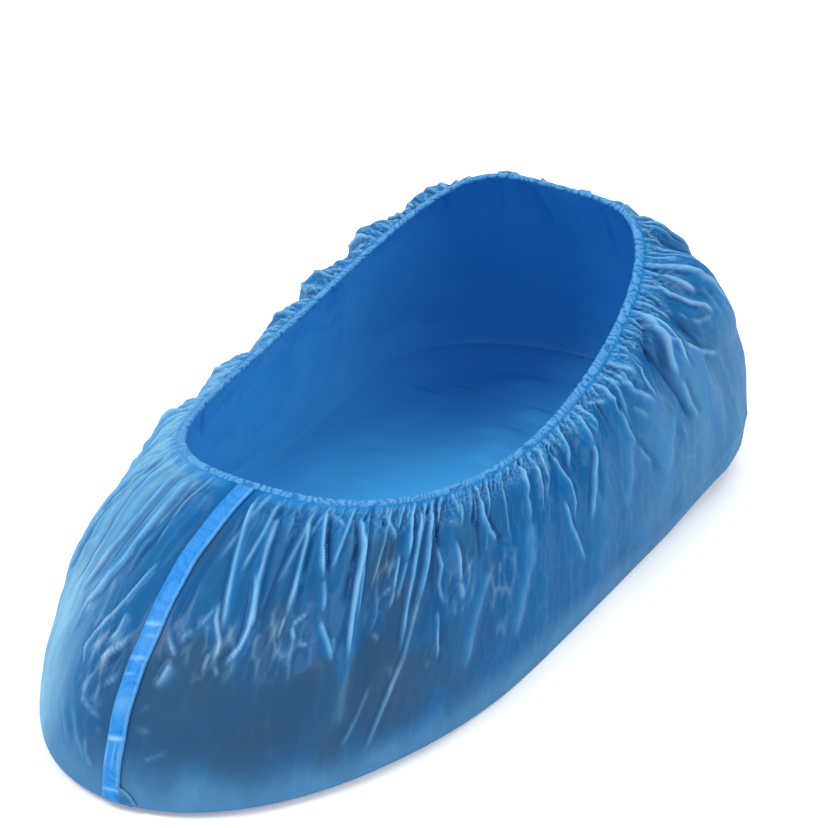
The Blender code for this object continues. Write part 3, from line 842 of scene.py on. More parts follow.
@dataclass
class FilmBag:
    """The bag of film: four quarters of gathered wall, each with its part of the flat sole."""

    form: CoverForm
    finish: FilmFinish = field(default_factory=FilmFinish)
    columns: int = 456
    rows: int = 96
    row_power: float = 1.06
    thickness: float = 0.20 * MM
    tuck: float = 1.3 * MM
    flat_size: tuple[float, float] = (0.18, 0.15)
    gathers: int = 40
    gather_depth: float = 1.9 * MM
    gather_reach: float = 0.50
    middle_pleats: int = 74
    short_pleats: int = 190
    fold_depth: float = 4.2 * MM
    strip_half: float = 2.8 * MM
    strip_margin: float = 0.6 * MM
    strip_blend: float = 4.0 * MM
    slack: float = 1.15 * MM
    crinkle_depth: float = 0.42 * MM
    crumple_depth: float = 1.1 * MM
    hem_crinkle: float = 0.9 * MM
    sole_relief: float = 1.6 * MM
    sole_shares: tuple[float, ...] = (0.03, 0.08, 0.15, 0.23, 0.32, 0.42, 0.53, 0.65, 0.77, 0.89, 1.0)
    far_shift: float = 1.03
    near_reach: int = 7
    low_reach: int = 40
    folds: tuple[Fold, ...] = (
        Fold(0.16, 0.022, 0.40, 0.85, -0.010),
        Fold(0.30, 0.024, 0.40, 0.80, -0.012),
        Fold(0.42, 0.026, 0.50, 0.95, -0.020),
        Fold(0.53, 0.026, 0.55, 0.90, -0.010),
        Fold(0.63, 0.030, 0.80, 0.95, 0.010),
        Fold(0.71, 0.028, 1.00, 0.90, 0.030),
        Fold(0.80, 0.030, 0.85, 0.85, 0.045),
        Fold(0.89, 0.026, 0.55, 0.70, 0.040),
    )
    dents: tuple[Crumple, ...] = (
        Crumple(0.407, 0.26, 0.035, 0.20, 2.4),
        Crumple(0.445, 0.12, 0.030, 0.12, -1.6),
        Crumple(0.500, 0.12, 0.030, 0.12, -1.2),
    )

    def places(self) -> tuple[np.ndarray, np.ndarray]:
        """The grid of places once round the wall: a row for each level, a column for each step round."""
        around = np.arange(4 * self.columns) / (4.0 * self.columns)
        down = (np.arange(self.rows + 1) / self.rows) ** self.row_power
        return np.meshgrid(around, down)

    def metric(self, around: np.ndarray, down: np.ndarray) -> tuple[np.ndarray, np.ndarray]:
        """Metres for each unit of around and of down at each place."""
        step = self.form.step
        across = np.linalg.norm(self.form.wall(around + step, down) - self.form.wall(around - step, down), axis=-1)
        below = np.minimum(down + 0.01, 1.0)
        above = np.maximum(down - 0.01, 0.0)
        along = np.linalg.norm(self.form.wall(around, below) - self.form.wall(around, above), axis=-1)
        return across / (2.0 * step), along / (below - above)

    def gather_lift(self, around: np.ndarray, down: np.ndarray) -> np.ndarray:
        """The main gathers under the hem: unequal, with narrow crests, fading on the way down."""
        drift = LatticeNoise(11, 20, 6)(around, down) - 0.5
        place = self.gathers * around + 0.9 * drift
        index = np.mod(np.floor(place), self.gathers).astype(int)
        random = np.random.default_rng(11)
        size = random.uniform(0.35, 1.0, self.gathers)[index]
        far = random.uniform(0.5, 1.3, self.gathers)[index] * self.gather_reach
        crest = np.abs(np.sin(math.pi * place)) ** 1.2
        fade = ease(down / 0.10) * (1.0 - ease((down / far - 0.3) / 0.7))
        return self.gather_depth * size * crest * fade

    def fold_lift(self, around: np.ndarray, down: np.ndarray) -> np.ndarray:
        """The broad folds, the same on both sides but for a small shift."""
        shift = np.where(self.form.side_of(around) > 0.0, 1.0, self.far_shift)
        lift = np.zeros_like(down)
        for fold in self.folds:
            middle = (fold.around + fold.lean * down) * shift
            rise = bell((self.form.half_share(around) - middle) / fold.width)
            fade = ease(down / 0.15) * (1.0 - ease((down / fold.reach - 0.35) / 0.65))
            lift += self.fold_depth * fold.depth * rise * fade
        return lift

    def add_crease(
        self, crease: Crease, marks: dict[str, np.ndarray], down: np.ndarray, metric: tuple[np.ndarray, np.ndarray]
    ) -> None:
        """Adds one ridge or valley, with a narrow crest and hollow flanks, to the lift and the marks.

        Args:
            crease: where it runs and how large it is.
            marks: the lift, the crest and valley marks of painted highlight and painted shade, and the tucked mark, at
                each place.
            down: the rows' shares of the way down.
            metric: metres for each unit of around and of down.
        """
        count = marks["lift"].shape[1]
        path = np.array(crease.path)
        width = crease.width * MM
        margin = 6.0 * width
        middle = path[len(path) // 2]
        row = min(int(np.searchsorted(down, middle[1])), len(down) - 1)
        column = int(middle[0] * count) % count
        scales = metric[0][:, column]
        along = metric[1][row, column]
        top, low = path[:, 1].min() - margin / along, path[:, 1].max() + margin / along
        rows = np.nonzero((down >= top) & (down <= low))[0]
        if len(rows) == 0:
            return
        reach = margin / scales[rows].min()
        columns = np.arange(
            math.floor((path[:, 0].min() - reach) * count), math.ceil((path[:, 0].max() + reach) * count) + 1
        )
        places = np.stack(
            [
                (columns[None, :] / count - middle[0]) * scales[rows][:, None],
                np.repeat(down[rows][:, None] * along, len(columns), axis=1),
            ],
            axis=-1,
        )
        bends = np.interp(path[:, 1], down, scales)
        corners = np.stack([(path[:, 0] - middle[0]) * bends, path[:, 1] * along], axis=-1)
        spans = np.diff(corners, axis=0)
        lengths = np.linalg.norm(spans, axis=1)
        run = np.concatenate([[0.0], np.cumsum(lengths)])
        distance = np.full(places.shape[:2], 1.0)
        share = np.zeros(places.shape[:2])
        steep = np.zeros(places.shape[:2], bool)
        for start, span, length, before in zip(corners, spans, lengths, run):
            part = np.clip(((places - start) @ span) / length**2, 0.0, 1.0)
            away = np.linalg.norm(places - start - part[..., None] * span, axis=-1)
            turn = (places[..., 0] - start[0]) * span[1] - (places[..., 1] - start[1]) * span[0]
            nearer = away < distance
            distance = np.where(nearer, away, distance)
            share = np.where(nearer, (before + part * length) / run[-1], share)
            steep = np.where(nearer, turn * (0.4 + math.sin(1000.0 * middle[0])) > 0.0, steep)
        tip = 0.12 + 0.33 * math.exp(-run[-1] / (9.0 * MM))
        fade = ease((share + 0.04) / tip) * ease((1.03 - share) / (tip + 0.12))
        blunt = 0.22 * width
        ridge = np.exp(-(np.sqrt(distance**2 + blunt**2) - blunt) / (width * np.where(steep, 0.60, 1.35)))
        hollow = 0.22 * bell(distance / (3.0 * width))
        patch = np.ix_(rows, columns % count)
        marks["lift"][patch] += crease.lift * MM * (ridge - hollow) * fade
        # A ridge paints highlight along its crest; a valley paints shade.
        name = "crest" if crease.lift > 0.0 else "valley"
        strength = min(abs(crease.lift), 1.2) / 1.2 * min(1.0, 0.9 / crease.width) * fade
        strength = strength * (0.15 + 0.85 * (1.0 - math.exp(-run[-1] / (13.0 * MM))))
        across, below = np.abs(corners[-1] - corners[0])
        reach = (0.60 if crease.lift > 0.0 else 0.9) * width + 0.55 * MM * across / (across + below + TINY)
        marks[name][patch] = np.maximum(marks[name][patch], strength * bell(distance / reach))
        # Big ridges are marked as tucked, doubled film.
        if crease.lift > 0.7:
            body = strength * bell(distance / (width * np.where(steep, 0.8, 2.3)))
            marks["tucked"][patch] = np.maximum(marks["tucked"][patch], body)
        # Painted shade in the hollow beside a ridge, more on its steep side.
        if crease.lift > 0.0:
            beside = np.where(steep, 0.85, 0.15) * strength * bell((distance - 1.5 * width) / (0.9 * width))
            marks["valley"][patch] = np.maximum(marks["valley"][patch], beside)

    def pleats(self) -> list[Crease]:
        """The short and middling pleats that leave the hem all the way round."""
        random = np.random.default_rng(71)
        made = []
        for count, reach, width, lift in (
            (self.middle_pleats, (0.10, 0.34), (0.6, 1.1), (0.5, 1.1)),
            (self.short_pleats, (0.03, 0.13), (0.45, 0.7), (0.4, 0.9)),
        ):
            for index in range(count):
                around = (index + random.uniform(0.1, 0.9)) / count
                side = 1.0 - math.exp(-((math.remainder(around, 1.0) / 0.10) ** 2))
                length = random.uniform(*reach)
                lean = random.uniform(-0.006, 0.006) * length / reach[1]
                bend = random.uniform(-0.0015, 0.0015)
                sign = -1.0 if random.random() < 0.35 else 1.0
                size = sign * random.uniform(*lift) * (0.7 + 0.5 * side)
                path = ((around, 0.0), (around + 0.5 * lean + bend, 0.5 * length), (around + lean, length))
                made.append(Crease(random.uniform(*width), size, path))
        return made

    def patch_mask(self, patches: Sequence[Crumple], around: np.ndarray, down: np.ndarray) -> list[np.ndarray]:
        """For each oval patch, how far inside it every place lies, from 0 to 1."""
        masks = []
        for patch in patches:
            away = from_toe(around - patch.around)
            radius = (away / patch.half_around) ** 2 + ((down - patch.down) / patch.half_down) ** 2
            masks.append(1.0 - ease(radius - 0.1))
        return masks

    def sheer_mask(self, around: np.ndarray, down: np.ndarray) -> np.ndarray:
        """Where the film is drawn thin and looks darker and greyer: on the toe and low along the side."""
        place = from_toe(around)
        toe = ease((place + 0.036) / 0.045) * (1.0 - ease((place - 0.09) / 0.13))
        ragged = down + 0.20 * (LatticeNoise(63, 96, 3)(around, down) - 0.5)
        low = ease((ragged - 0.44) / 0.10) * (1.0 - ease((ragged - 0.71) / 0.22))
        high = ease((down - 0.06) / 0.12) * (1.0 - ease((down - 0.56) / 0.12))
        blot = ease((LatticeNoise(61, 84, 5)(around, down) - 0.30) / 0.3)
        return np.maximum(toe * low, toe * high * (0.40 + 0.55 * blot))

    def lit_mask(self, around: np.ndarray, down: np.ndarray) -> np.ndarray:
        """Painted light, where the film is shown lighter: on the -X flank of the toe, round the heel and low on the
        wall.
        """
        place = np.abs(from_toe(around))
        flank = ease((place - 0.012) / 0.05) * (1.0 - ease((place - 0.16) / 0.14)) * (np.mod(around, 1.0) > 0.5)
        heel = ease((place - 0.22) / 0.14)
        streak = LatticeNoise(67, 110, 4)(around, down)
        heel_painted_light = heel * (0.10 + 0.22 * streak) * ease((down - 0.12) / 0.3)
        wall = np.maximum(0.85 * flank * (0.6 + 0.4 * streak), heel_painted_light)
        return np.maximum(wall, 0.27 * ease((down - 0.74) / 0.20))

    def relief(self, around: np.ndarray, down: np.ndarray) -> dict[str, np.ndarray]:
        """How far the film stands off its smooth form, and the marks that its finish reads.

        Args:
            around: shares of the way round.
            down: shares of the way down.

        Returns:
            The lift in metres, and each of MARKS from 0 to 1.
        """
        metric = self.metric(around, down)
        random = np.random.default_rng(29)
        marks = {name: np.zeros_like(down) for name in ("lift", "crest", "valley", "tucked")}
        for crease in CREASES:
            self.add_crease(crease, marks, down[:, 0], metric)
        for crease in (*(row.mirrored(random) for row in CREASES if row.path[0][0] > 0.06), *self.pleats()):
            self.add_crease(crease, marks, down[:, 0], metric)
        free = ease(down / 0.06) * ease((1.0 - down) / 0.10)
        patches = [*CRUMPLES, *(replace(row, around=-row.around) for row in CRUMPLES[2:])]
        crumpled = np.zeros_like(down)
        for patch, mask in zip(patches, self.patch_mask(patches, around, down)):
            crumpled = np.maximum(crumpled, patch.lift / 0.8 * mask)
        lift = marks["lift"] + self.gather_lift(around, down) + self.fold_lift(around, down)
        for patch, mask in zip(self.dents, self.patch_mask(self.dents, around, down)):
            lift += patch.lift * MM * mask
        broad, _ = CellNoise(3, 44, 6)(around, down)
        drawn, drawn_edge = CellNoise(5, 170, 10)(around, down)
        streaks, streak_edge = CellNoise(13, 210, 13)(around, down)
        coarse, _ = CellNoise(7, 190, 26)(around, down)
        small, small_edge = CellNoise(9, 330, 42)(around, down)
        side = 1.0 - bell(from_toe(around) / 0.12)
        under_hem = (0.25 + 0.75 * side) * ease(down / 0.02) * (1.0 - ease((down - 0.05) / 0.13))
        sheer = self.sheer_mask(around, down)
        lift += self.slack * (broad - 0.3) * free * (1.0 - 0.7 * sheer)
        lift += self.crinkle_depth * (drawn - 0.3) * free * (1.0 - 0.6 * sheer)
        lift += self.crumple_depth * crumpled * (0.75 * streaks + 0.25 * small - 0.3) * free
        lift += self.hem_crinkle * under_hem * (0.5 * coarse + 0.5 * small - 0.3)
        # Painted glints along the walls of crumple and crinkle cells and under the hem, which feed the crest
        # highlight.
        lines = crumpled * (0.06 * streak_edge + 0.90 * np.clip(streaks - 0.20, 0.0, 0.8))
        lines = lines + 0.06 * drawn_edge * (1.0 - sheer) + 0.8 * under_hem * small_edge
        casing = 1.0 - ease((down - 0.022) / 0.016)
        uneven = 0.45 + 0.75 * LatticeNoise(91, 420, 22)(around, down)
        points = self.form.wall(around, down)
        beside = ease((np.abs(points[..., 0]) - self.strip_half - self.strip_margin) / self.strip_blend)
        clear = np.where(points[..., 1] < 0.0, beside, 1.0)
        lift *= 0.03 + 0.97 * clear
        # How far the lift rises above its surroundings, broadly (low) and finely (near), which drives painted
        # highlight and painted shade.
        low = lift - blurred(lift, self.low_reach)
        near = (lift - blurred(lift, self.near_reach)) / (0.36 * MM) * (0.22 + 0.78 * under_hem)
        # Painted shade: in valley creases and in broad and fine hollows of the lift.
        valley = np.maximum(marks["valley"], np.clip(-low / (1.7 * MM), 0.0, 1.0) * 0.7 + np.clip(-near, 0.0, 0.8))
        # Tucked film in the hem casing and on big ridges, plus painted highlight where the lift rises broadly.
        tucked = np.maximum(marks["tucked"], casing) + np.clip(low / (2.6 * MM), 0.0, 0.6)
        return {
            "lift": lift * ease((1.0 - down) / 0.05),
            # crest: painted highlight on crease crests, crinkle glints and fine rises.
            "crest": np.clip(uneven * marks["crest"] + 0.6 * lines + np.clip(near, 0.0, 0.40), 0.0, 1.0) * clear,
            "valley": np.clip(valley, 0.0, 1.0) * clear,
            "sheer": sheer,
            "crumpled": crumpled,
            "tucked": np.clip(tucked, 0.0, 1.0) * clear,
            "lit": self.lit_mask(around, down),
        }

    def skin(self) -> dict[str, np.ndarray]:
        """Points, normals and marks of the whole skin, a row for each level from hem to the sole's middle."""
        around, down = self.places()
        points, normals, rise = self.form.wall_frame(around, down)
        marks = self.relief(around, down)
        points = points + normals * marks.pop("lift")[..., None]
        points[..., 2] = np.maximum(points[..., 2], 0.0)
        wall = np.concatenate([(points[0] + rise[0] * self.tuck)[None], points])
        edge = points[-1]
        rises = self.form.edge_rise(self.form.half_share(around[0]))
        sole = []
        for share in self.sole_shares:
            row = edge * np.array([1.0 - share, 1.0, 1.0])
            inset = np.linalg.norm(row[:, None, :2] - edge[None, ::10, :2], axis=-1).min(axis=1)
            row[:, 2] = rises * (1.0 - ease(inset / 0.014))
            lump = LatticeNoise(83, 24, 40)(row[:, 0] * 5.0 + 0.5, row[:, 1] * 3.0 + 0.5)
            row[:, 2] += self.sole_relief * ease((lump - 0.45) / 0.5) * ease((inset - 0.004) / 0.012)
            sole.append(row)
        length = np.concatenate([[0.0], np.cumsum(np.linalg.norm(np.diff(wall, axis=0), axis=-1).mean(axis=1))])
        across = [length[-1] + share * 0.5 * self.form.ball_width for share in self.sole_shares]
        whole = np.concatenate([wall, np.array(sole)])
        ahead = np.roll(whole, -1, axis=1) - np.roll(whole, 1, axis=1)
        facing = unit(np.cross(np.gradient(whole, axis=0), ahead))
        facing[len(wall) :] = unit(facing[len(wall) :] + np.array([0.0, 0.0, -TINY]))
        plain = np.zeros((len(self.sole_shares), around.shape[1]))
        skin = {name: np.concatenate([values[:1], values, plain]) for name, values in marks.items()}
        return {"points": whole, "facing": facing, "rows": np.concatenate([length, across]), **skin}

    def build(self, quarter: Quarter, skin: dict[str, np.ndarray], material: bpy.types.Material) -> bpy.types.Object:
        """Builds one quarter of the bag as a closed thin shell.

        Args:
            quarter: which quarter.
            skin: the whole skin's points, normals and marks.
            material: its finish.

        Returns:
            The object.
        """
        first = list(Quarter).index(quarter) * self.columns
        columns = (first + np.arange(self.columns + 1)) % (4 * self.columns)
        outer = skin["points"][:, columns].copy()
        for end, column in ((0, columns[0]), (-1, columns[-1])):
            if column % (2 * self.columns) == 0:
                outer[:, end, 0] = 0.0
        facing = skin["facing"][:, columns]
        levels, count = outer.shape[:2]
        inner = outer - facing * self.thickness
        number = np.arange(levels * count).reshape(levels, count)
        quads = np.stack([number[:-1, :-1], number[1:, :-1], number[1:, 1:], number[:-1, 1:]], axis=-1).reshape(-1, 4)
        rim = np.concatenate([number[0, ::-1], number[1:-1, 0], number[-1], number[-2:0:-1, -1]])
        ahead = np.roll(rim, -1)
        sides = np.stack([ahead, rim, rim + levels * count, ahead + levels * count], axis=-1)
        faces = np.concatenate([quads, quads[:, ::-1] + levels * count, sides])
        share = (first + np.arange(count)) / (4.0 * self.columns)
        uv = np.stack(np.meshgrid(0.6 * share, skin["rows"]), axis=-1).reshape(-1, 2)
        marks = {name: np.tile(skin[name][:, columns].ravel(), 2) for name in MARKS}
        marks["inside"] = np.repeat([0.0, 1.0], levels * count)
        points = np.concatenate([outer.reshape(-1, 3), inner.reshape(-1, 3)])
        normals = np.concatenate([facing.reshape(-1, 3), -facing.reshape(-1, 3)])
        item = mesh_object(quarter.value, points, faces, marks, np.tile(uv, (2, 1)), normals)
        item.data.materials.append(material)
        LOG.info("%s: %d faces", item.name, len(item.data.polygons))
        return item


@dataclass(frozen=True)
class Ruche:
    """How a piece is ruched: its puckers, how far they drift from their places, and its fine crinkles."""

    puckers: float
    pucker_depth: float
    drift: float
    crinkle_depth: float
    crinkle_scale: float

    def inputs(self) -> dict[str, float]:
        """Its sizes under the names of the node tree's inputs."""
        return {name.replace("_", " ").title(): value for name, value in asdict(self).items()}


@dataclass
class RucheTree:
    """Geometry nodes that pucker and crinkle a mesh along its run, which its points carry from 0 to 1."""

    name: str = "ruche"
    seed: float = 4.0
    drift_scale: float = 110.0
    pinch: float = 3.2

    def build(self) -> bpy.types.NodeTree:
        """Builds the node tree.

        Returns:
            The tree, with inputs for its sizes.
        """
        group = bpy.data.node_groups.new(self.name, "GeometryNodeTree")
        face = group.interface
        face.new_socket("Geometry", in_out="INPUT", socket_type="NodeSocketGeometry")
        for name in ("Puckers", "Pucker Depth", "Drift", "Crinkle Depth", "Crinkle Scale"):
            face.new_socket(name, in_out="INPUT", socket_type="NodeSocketFloat")
        face.new_socket("Finish", in_out="INPUT", socket_type="NodeSocketMaterial")
        face.new_socket("Geometry", in_out="OUTPUT", socket_type="NodeSocketGeometry")
        tree = Tree(group)
        given = tree.node("NodeGroupInput")
        sizes = {name: Number(tree, given.outputs[name]) for name in given.outputs.keys() if name}
        run, free = (
            tree.number("GeometryNodeInputNamedAttribute", "Attribute", {"data_type": "FLOAT"}, {"Name": name})
            for name in ("run", "free")
        )
        drift = tree.noise("4D", W=self.seed, Scale=self.drift_scale, Detail=1.0)
        place = run * sizes["Puckers"] + (drift - 0.5) * sizes["Drift"]
        wave = 1.0 - tree.math("EXPONENT", abs(tree.math("SINE", place * math.pi)) * -self.pinch)
        grain = tree.noise("4D", W=self.seed + 3.0, Scale=sizes["Crinkle Scale"], Detail=2.0, Distortion=0.5)
        sharp = 1.0 - abs(2.0 * grain - 1.0)
        lift = free * (sizes["Pucker Depth"] * (wave - 0.7) + sizes["Crinkle Depth"] * (sharp - 0.5))
        normal = tree.node("GeometryNodeInputNormal")
        offset = tree.node(
            "ShaderNodeVectorMath", {"operation": "SCALE"}, {"Vector": normal.outputs["Normal"], "Scale": lift}
        )
        marked = tree.node(
            "GeometryNodeStoreNamedAttribute",
            {"data_type": "FLOAT", "domain": "POINT"},
            {"Geometry": given.outputs["Geometry"], "Name": "pucker", "Value": (wave * 0.75 + sharp * 0.25).clamped()},
        )
        moved = tree.node(
            "GeometryNodeSetPosition", {}, {"Geometry": marked.outputs["Geometry"], "Offset": offset.outputs["Vector"]}
        )
        smooth = tree.node("GeometryNodeSetShadeSmooth", {}, {"Geometry": moved.outputs["Geometry"]})
        real = tree.node("GeometryNodeRealizeInstances", {}, {"Geometry": smooth.outputs["Geometry"]})
        dressed = tree.node(
            "GeometryNodeSetMaterial", {}, {"Geometry": real.outputs["Geometry"], "Material": given.outputs["Finish"]}
        )
        tree.node("NodeGroupOutput", {}, {"Geometry": dressed.outputs["Geometry"]})
        return group

    def apply(
        self, item: bpy.types.Object, group: bpy.types.NodeTree, ruche: Ruche, finish: bpy.types.Material
    ) -> None:
        """Turns an object's faces outwards, runs the tree on it and keeps the result as a plain mesh.

        Args:
            item: the object.
            group: the tree.
            ruche: how the object is ruched.
            finish: the material that the tree sets.
        """
        turn_outward(item)
        modifier = item.modifiers.new(self.name, "NODES")
        modifier.node_group = group
        keys = {socket.name: socket.identifier for socket in group.interface.items_tree if socket.in_out == "INPUT"}
        for name, value in {**ruche.inputs(), "Finish": finish}.items():
            modifier[keys[name]] = value
        made_plain(item)
        LOG.info("%s: %d faces", item.name, len(item.data.polygons))


@dataclass
class ElasticHem:
    """The casing over the elastic: a closed ruched loop round the opening."""

    form: CoverForm
    # Hem finish: blue, pale for painted highlight, deep for painted shade, and roughness.
    finish: TrimFinish = TrimFinish("hem_film", srgb(36, 122, 190), srgb(112, 184, 232), srgb(6, 60, 124), 0.36)
    height: float = 2.5 * MM
    thickness: float = 1.2 * MM
    film_wall: float = 1.0 * MM
    clearance: float = 0.3 * MM
    ruche: Ruche = Ruche(196.0, 0.34 * MM, 11.0, 0.50 * MM, 520.0)
    per_pucker: int = 8
    sides: int = 14
    squareness: float = 0.8

    def build(self, tree: RucheTree, group: bpy.types.NodeTree) -> bpy.types.Object:
        """Builds the hem.

        Args:
            tree: the ruching.
            group: its node tree.

        Returns:
            The object.
        """
        count = int(self.ruche.puckers) * self.per_pucker
        around = np.arange(count) / count
        rims, normals, rises = self.form.wall_frame(around, np.zeros_like(around))
        angles = 2.0 * math.pi * np.arange(self.sides) / self.sides
        middle = rims - normals * (0.5 * self.film_wall) + rises * (self.clearance + 0.5 * self.height)
        up, out = (
            np.sign(wave) * np.abs(wave) ** self.squareness * 0.5 * size
            for wave, size in ((np.cos(angles), self.height), (np.sin(angles), self.thickness))
        )
        points = middle[:, None] + rises[:, None] * up[None, :, None] + normals[:, None] * out[None, :, None]
        numbers = np.arange(count * self.sides).reshape(count, self.sides)
        ahead = np.roll(numbers, -1, axis=0)
        turned = np.roll(numbers, -1, axis=1)
        faces = np.stack([numbers, turned, np.roll(turned, -1, axis=0), ahead], axis=-1).reshape(-1, 4)
        none = np.zeros(count * self.sides)
        marks = {"run": np.repeat(around, self.sides), "free": none + 1.0, "highlight_line": none, "lobe": none}
        item = mesh_object("hem_casing", points.reshape(-1, 3), faces, marks)
        tree.apply(item, group, self.ruche, self.finish.material())
        return item


@dataclass
class ToeStrip:
    """The welded seam up the middle of the toe, with a raised lip on its +X edge and a doubled corner at its foot."""

    form: CoverForm
    # Strip finish: blue, pale for painted highlight, deep for painted shade, roughness and a weak shine.
    finish: TrimFinish = TrimFinish(
        "seam_film", srgb(30, 130, 210), srgb(146, 202, 238), srgb(22, 112, 192), 0.36, shine=0.06
    )
    width: float = 5.6 * MM
    thickness: float = 0.8 * MM
    lip: float = 0.7 * MM
    tab_reach: float = 8.4 * MM
    tab_height: float = 8.0 * MM
    edge_line: float = 0.5 * MM
    lift_off: float = 0.3 * MM
    floor_gap: float = 1.2 * MM
    rows: int = 260
    across: int = 16
    ruche: Ruche = Ruche(17.0, 0.08 * MM, 6.0, 0.10 * MM, 300.0)
    first_down: float = 0.006
    last_down: float = 0.992
    lip_share: float = 0.86
    welt_slope: float = 0.006
    welts: tuple[Crumple, ...] = (
        Crumple(0.0, 0.445, 1.0, 0.006, 0.55),
        Crumple(0.3, 0.478, 0.8, 0.004, 0.30),
        Crumple(0.0, 0.540, 1.0, 0.006, 0.50),
        Crumple(-0.4, 0.585, 0.7, 0.004, 0.35),
        Crumple(0.0, 0.670, 1.2, 0.032, 0.22),
        Crumple(0.0, 0.772, 1.0, 0.007, 0.85),
        Crumple(-0.7, 0.825, 0.10, 0.040, 0.40),
        Crumple(0.1, 0.825, 0.10, 0.040, 0.40),
        Crumple(0.6, 0.830, 0.10, 0.035, 0.35),
        Crumple(0.0, 0.945, 1.0, 0.006, 0.50),
    )

    def welt_lines(self, share: np.ndarray, downs: np.ndarray) -> np.ndarray:
        """Painted highlights along the creases across the strip, from 0 to 1, a row for each level."""
        lines = np.zeros((len(downs), len(share)))
        for welt in self.welts:
            slope = self.welt_slope * share[None]
            radius = ((share[None] - welt.around) / welt.half_around) ** 2
            radius = radius + ((downs[:, None] + slope - welt.down) / welt.half_down) ** 2
            lines = np.maximum(lines, welt.lift * np.exp(-radius))
        return lines

    def build(self, tree: RucheTree, group: bpy.types.NodeTree) -> bpy.types.Object:
        """Builds the strip.

        Args:
            tree: the ruching.
            group: its node tree.

        Returns:
            The object.
        """
        run = np.linspace(0.0, 1.0, self.rows)
        downs = self.first_down + (self.last_down - self.first_down) * run
        points, normals, _ = self.form.wall_frame(np.zeros_like(downs), downs)
        keep = points[:, 2] >= self.floor_gap
        points, normals, run, downs = points[keep], normals[keep], run[keep], downs[keep]
        height = points[:, 2]
        round_off = np.sqrt(np.maximum(1.0 - (height / self.tab_height) ** 2, 0.0))
        left = 0.5 * self.width
        right = np.maximum(left, self.tab_reach * round_off)
        share = np.linspace(-1.0, 1.0, self.across)
        wander = 0.18 * MM * np.sin(17.0 * run) + 0.08 * MM * np.sin(41.0 * run + 1.0)
        x = np.where(share[None] > 0.0, right[:, None] * share[None], left * share[None]) + wander[:, None]
        toe_radius = (0.5 * self.form.ball_width) ** 2 / self.form.toe_round
        bend = -0.5 * x * x / toe_radius
        dome = self.thickness * (1.0 - share**4)[None] * 0.8
        ridge = self.lip * bell((share - self.lip_share) / 0.12)[None]
        upper = bend + self.lift_off + dome + ridge
        lower = bend + self.lift_off * np.ones_like(dome)
        side = np.array([1.0, 0.0, 0.0])
        top = points[:, None] + normals[:, None] * upper[..., None] + side * x[..., None]
        under = points[:, None] + normals[:, None] * lower[..., None] + side * x[..., None]
        rings = np.concatenate([top, under[:, ::-1]], axis=1)
        count, around = rings.shape[:2]
        numbers = np.arange(count * around).reshape(count, around)
        faces = np.stack(
            [numbers[:-1], numbers[1:], np.roll(numbers, -1, axis=1)[1:], np.roll(numbers, -1, axis=1)[:-1]], axis=-1
        ).reshape(-1, 4)
        caps = [
            [row[k], row[k + 1], row[around - 2 - k], row[around - 1 - k]]
            for row in (numbers[0], numbers[-1])
            for k in range(self.across - 1)
        ]
        faces = np.concatenate([faces, np.array(caps)])
        free = np.concatenate([1.0 - share**6, np.zeros(self.across)])
        ends = ease(run / 0.03) * ease((1.0 - run) / 0.02)
        lobe = ease((x - wander[:, None] - left) / (0.4 * MM)) * (right[:, None] > left + TINY)
        # Painted highlight along the tab's rounded edge, and along the creases across the strip.
        edge_highlight = bell((right[:, None] - x) / self.edge_line) * lobe
        highlight_line = np.maximum(self.welt_lines(share, downs) * (1.0 - lobe), 0.35 * edge_highlight)
        # Painted highlight along the raised lip.
        lip_highlight = 0.35 * bell((share - self.lip_share) / 0.10)[None] * (1.0 - lobe)
        lip_highlight = lip_highlight * (right[:, None] < left + TINY)
        highlight_line = np.maximum(highlight_line, lip_highlight)
        marks = {
            "run": np.repeat(run, around),
            "free": (ends[:, None] * free[None]).ravel(),
            "highlight_line": np.concatenate([highlight_line, highlight_line[:, ::-1]], axis=1).ravel(),
            "lobe": np.concatenate([lobe, lobe[:, ::-1]], axis=1).ravel(),
        }
        item = mesh_object("welded_strip", rings.reshape(-1, 3), faces, marks)
        tree.apply(item, group, self.ruche, self.finish.material())
        return item


def direction(azimuth: float, elevation: float) -> Vector:
    """The direction from the cover at these angles in degrees, where azimuth 0 is in front of the toe."""
    turn, rise = math.radians(azimuth), math.radians(elevation)
    return Vector((math.sin(turn) * math.cos(rise), -math.cos(turn) * math.cos(rise), math.sin(rise)))


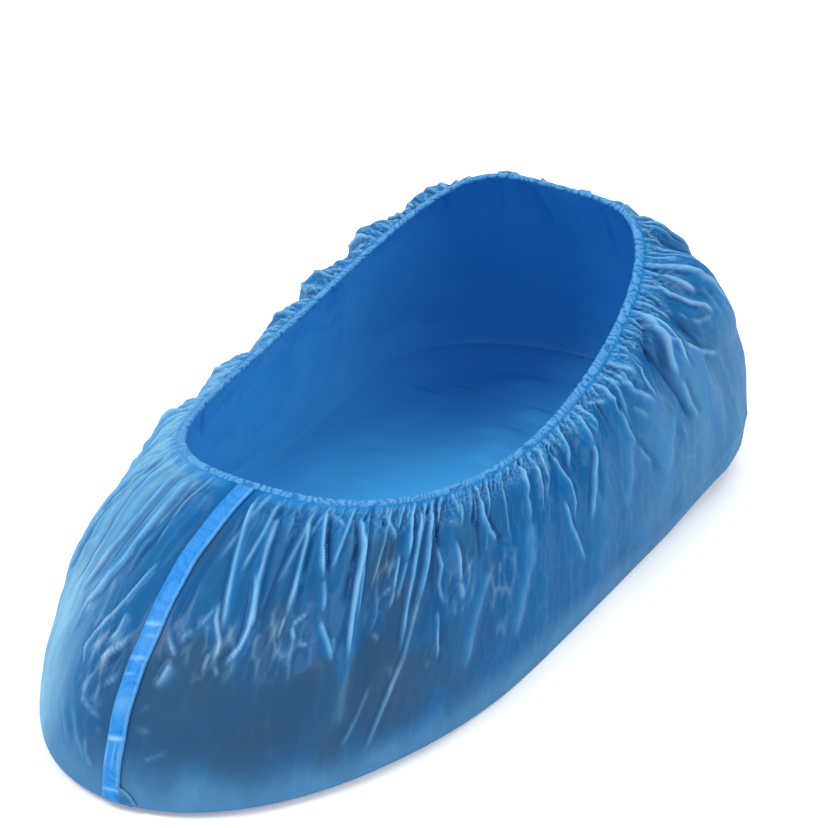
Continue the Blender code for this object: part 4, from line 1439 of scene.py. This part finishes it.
@dataclass
class Studio:
    """A pale floor, soft lights and the camera."""

    azimuth: float = 28.50
    elevation: float = 28.61
    roll: float = -2.04
    distance: float = 1.2217
    target: tuple[float, float, float] = (0.0, 0.0, 0.040)
    aim_right: float = 0.0077
    aim_up: float = 0.0109
    lens: float = 183.6
    sensor: float = 36.0
    clip: tuple[float, float] = (0.05, 40.0)
    floor_size: float = 14.0
    floor_color: Color = (0.93, 0.93, 0.93, 1.0)
    floor_glow: float = 0.22
    white: Color = (1.0, 1.0, 1.0, 1.0)
    sky: float = 0.62
    lights: tuple[tuple[str, float, float, float, float, float], ...] = (
        ("key", -40.0, 50.0, 1.9, 0.9, 20.0),
        ("fill", 80.0, 36.0, 2.2, 1.0, 11.0),
        ("top", 170.0, 66.0, 2.0, 1.0, 13.0),
    )

    def camera(self) -> None:
        """Makes the camera at the viewing angle."""
        turn, roll = math.radians(self.azimuth), math.radians(self.roll)
        back = direction(self.azimuth, self.elevation)
        level = Vector((math.cos(turn), math.sin(turn), 0.0))
        steep = back.cross(level)
        right = level * math.cos(roll) - steep * math.sin(roll)
        up = level * math.sin(roll) + steep * math.cos(roll)
        data = bpy.data.cameras.new("camera")
        data.lens = self.lens
        data.sensor_width = self.sensor
        data.clip_start, data.clip_end = self.clip
        item = new_object("camera", data)
        place = Vector(self.target) + right * self.aim_right + up * self.aim_up + back * self.distance
        item.matrix_world = Matrix.Translation(place) @ Matrix((right, up, back)).transposed().to_4x4()
        bpy.context.scene.camera = item

    def light(self, name: str, azimuth: float, elevation: float, distance: float, size: float, watts: float) -> None:
        """Adds a soft square light that faces the cover.

        Args:
            name: the light's name.
            azimuth: its direction, 0 in front of the toe.
            elevation: its height in degrees.
            distance: how far away it stands.
            size: its side.
            watts: its power.
        """
        back = direction(azimuth, elevation)
        data = bpy.data.lights.new(name, "AREA")
        data.shape = "SQUARE"
        data.size = size
        data.energy = watts
        item = new_object(name, data)
        item.location = Vector(self.target) + back * distance
        item.rotation_euler = back.to_track_quat("Z", "Y").to_euler()

    def floor(self) -> None:
        """Makes the pale floor."""
        mesh = bpy.data.meshes.new("floor")
        half = 0.5 * self.floor_size
        corners = [(-half, -half, 0.0), (half, -half, 0.0), (half, half, 0.0), (-half, half, 0.0)]
        mesh.from_pydata(corners, [], [(0, 1, 2, 3)])
        item = new_object("floor", mesh)
        made, tree, shader = blank_material("pale_floor")
        inputs = {
            "Base Color": self.floor_color,
            "Roughness": 0.85,
            "Emission Color": self.white,
            "Emission Strength": self.floor_glow,
            "Specular IOR Level": 0.2,
        }
        tree.feed(shader, inputs)
        mesh.materials.append(made)

    def build(self) -> None:
        """Sets up the whole studio."""
        self.camera()
        self.floor()
        world = bpy.data.worlds.new("studio")
        world.use_nodes = True
        background = world.node_tree.nodes["Background"]
        Tree(world.node_tree).feed(background, {"Color": self.white, "Strength": self.sky})
        bpy.context.scene.world = world
        for light in self.lights:
            self.light(*light)
        bpy.context.scene.view_settings.view_transform = "Standard"


def main() -> None:
    """Builds the cover's pieces, dresses them and sets up the studio."""
    form = CoverForm()
    bag = FilmBag(form)
    ruche = RucheTree()
    group = ruche.build()
    hem = ElasticHem(form).build(ruche, group)
    strip = ToeStrip(form).build(ruche, group)
    film = bag.finish.material()
    skin = bag.skin()
    for quarter in Quarter:
        part = bag.build(quarter, skin, film)
        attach(part, "root")
        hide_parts("film_body")
    for piece, node, slot in ((hem, "elastic_hem", "hem"), (strip, "toe_strip", "seam")):
        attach(piece, "root")
        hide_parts(node)
    Studio().build()


if __name__ == "__main__":
    main()
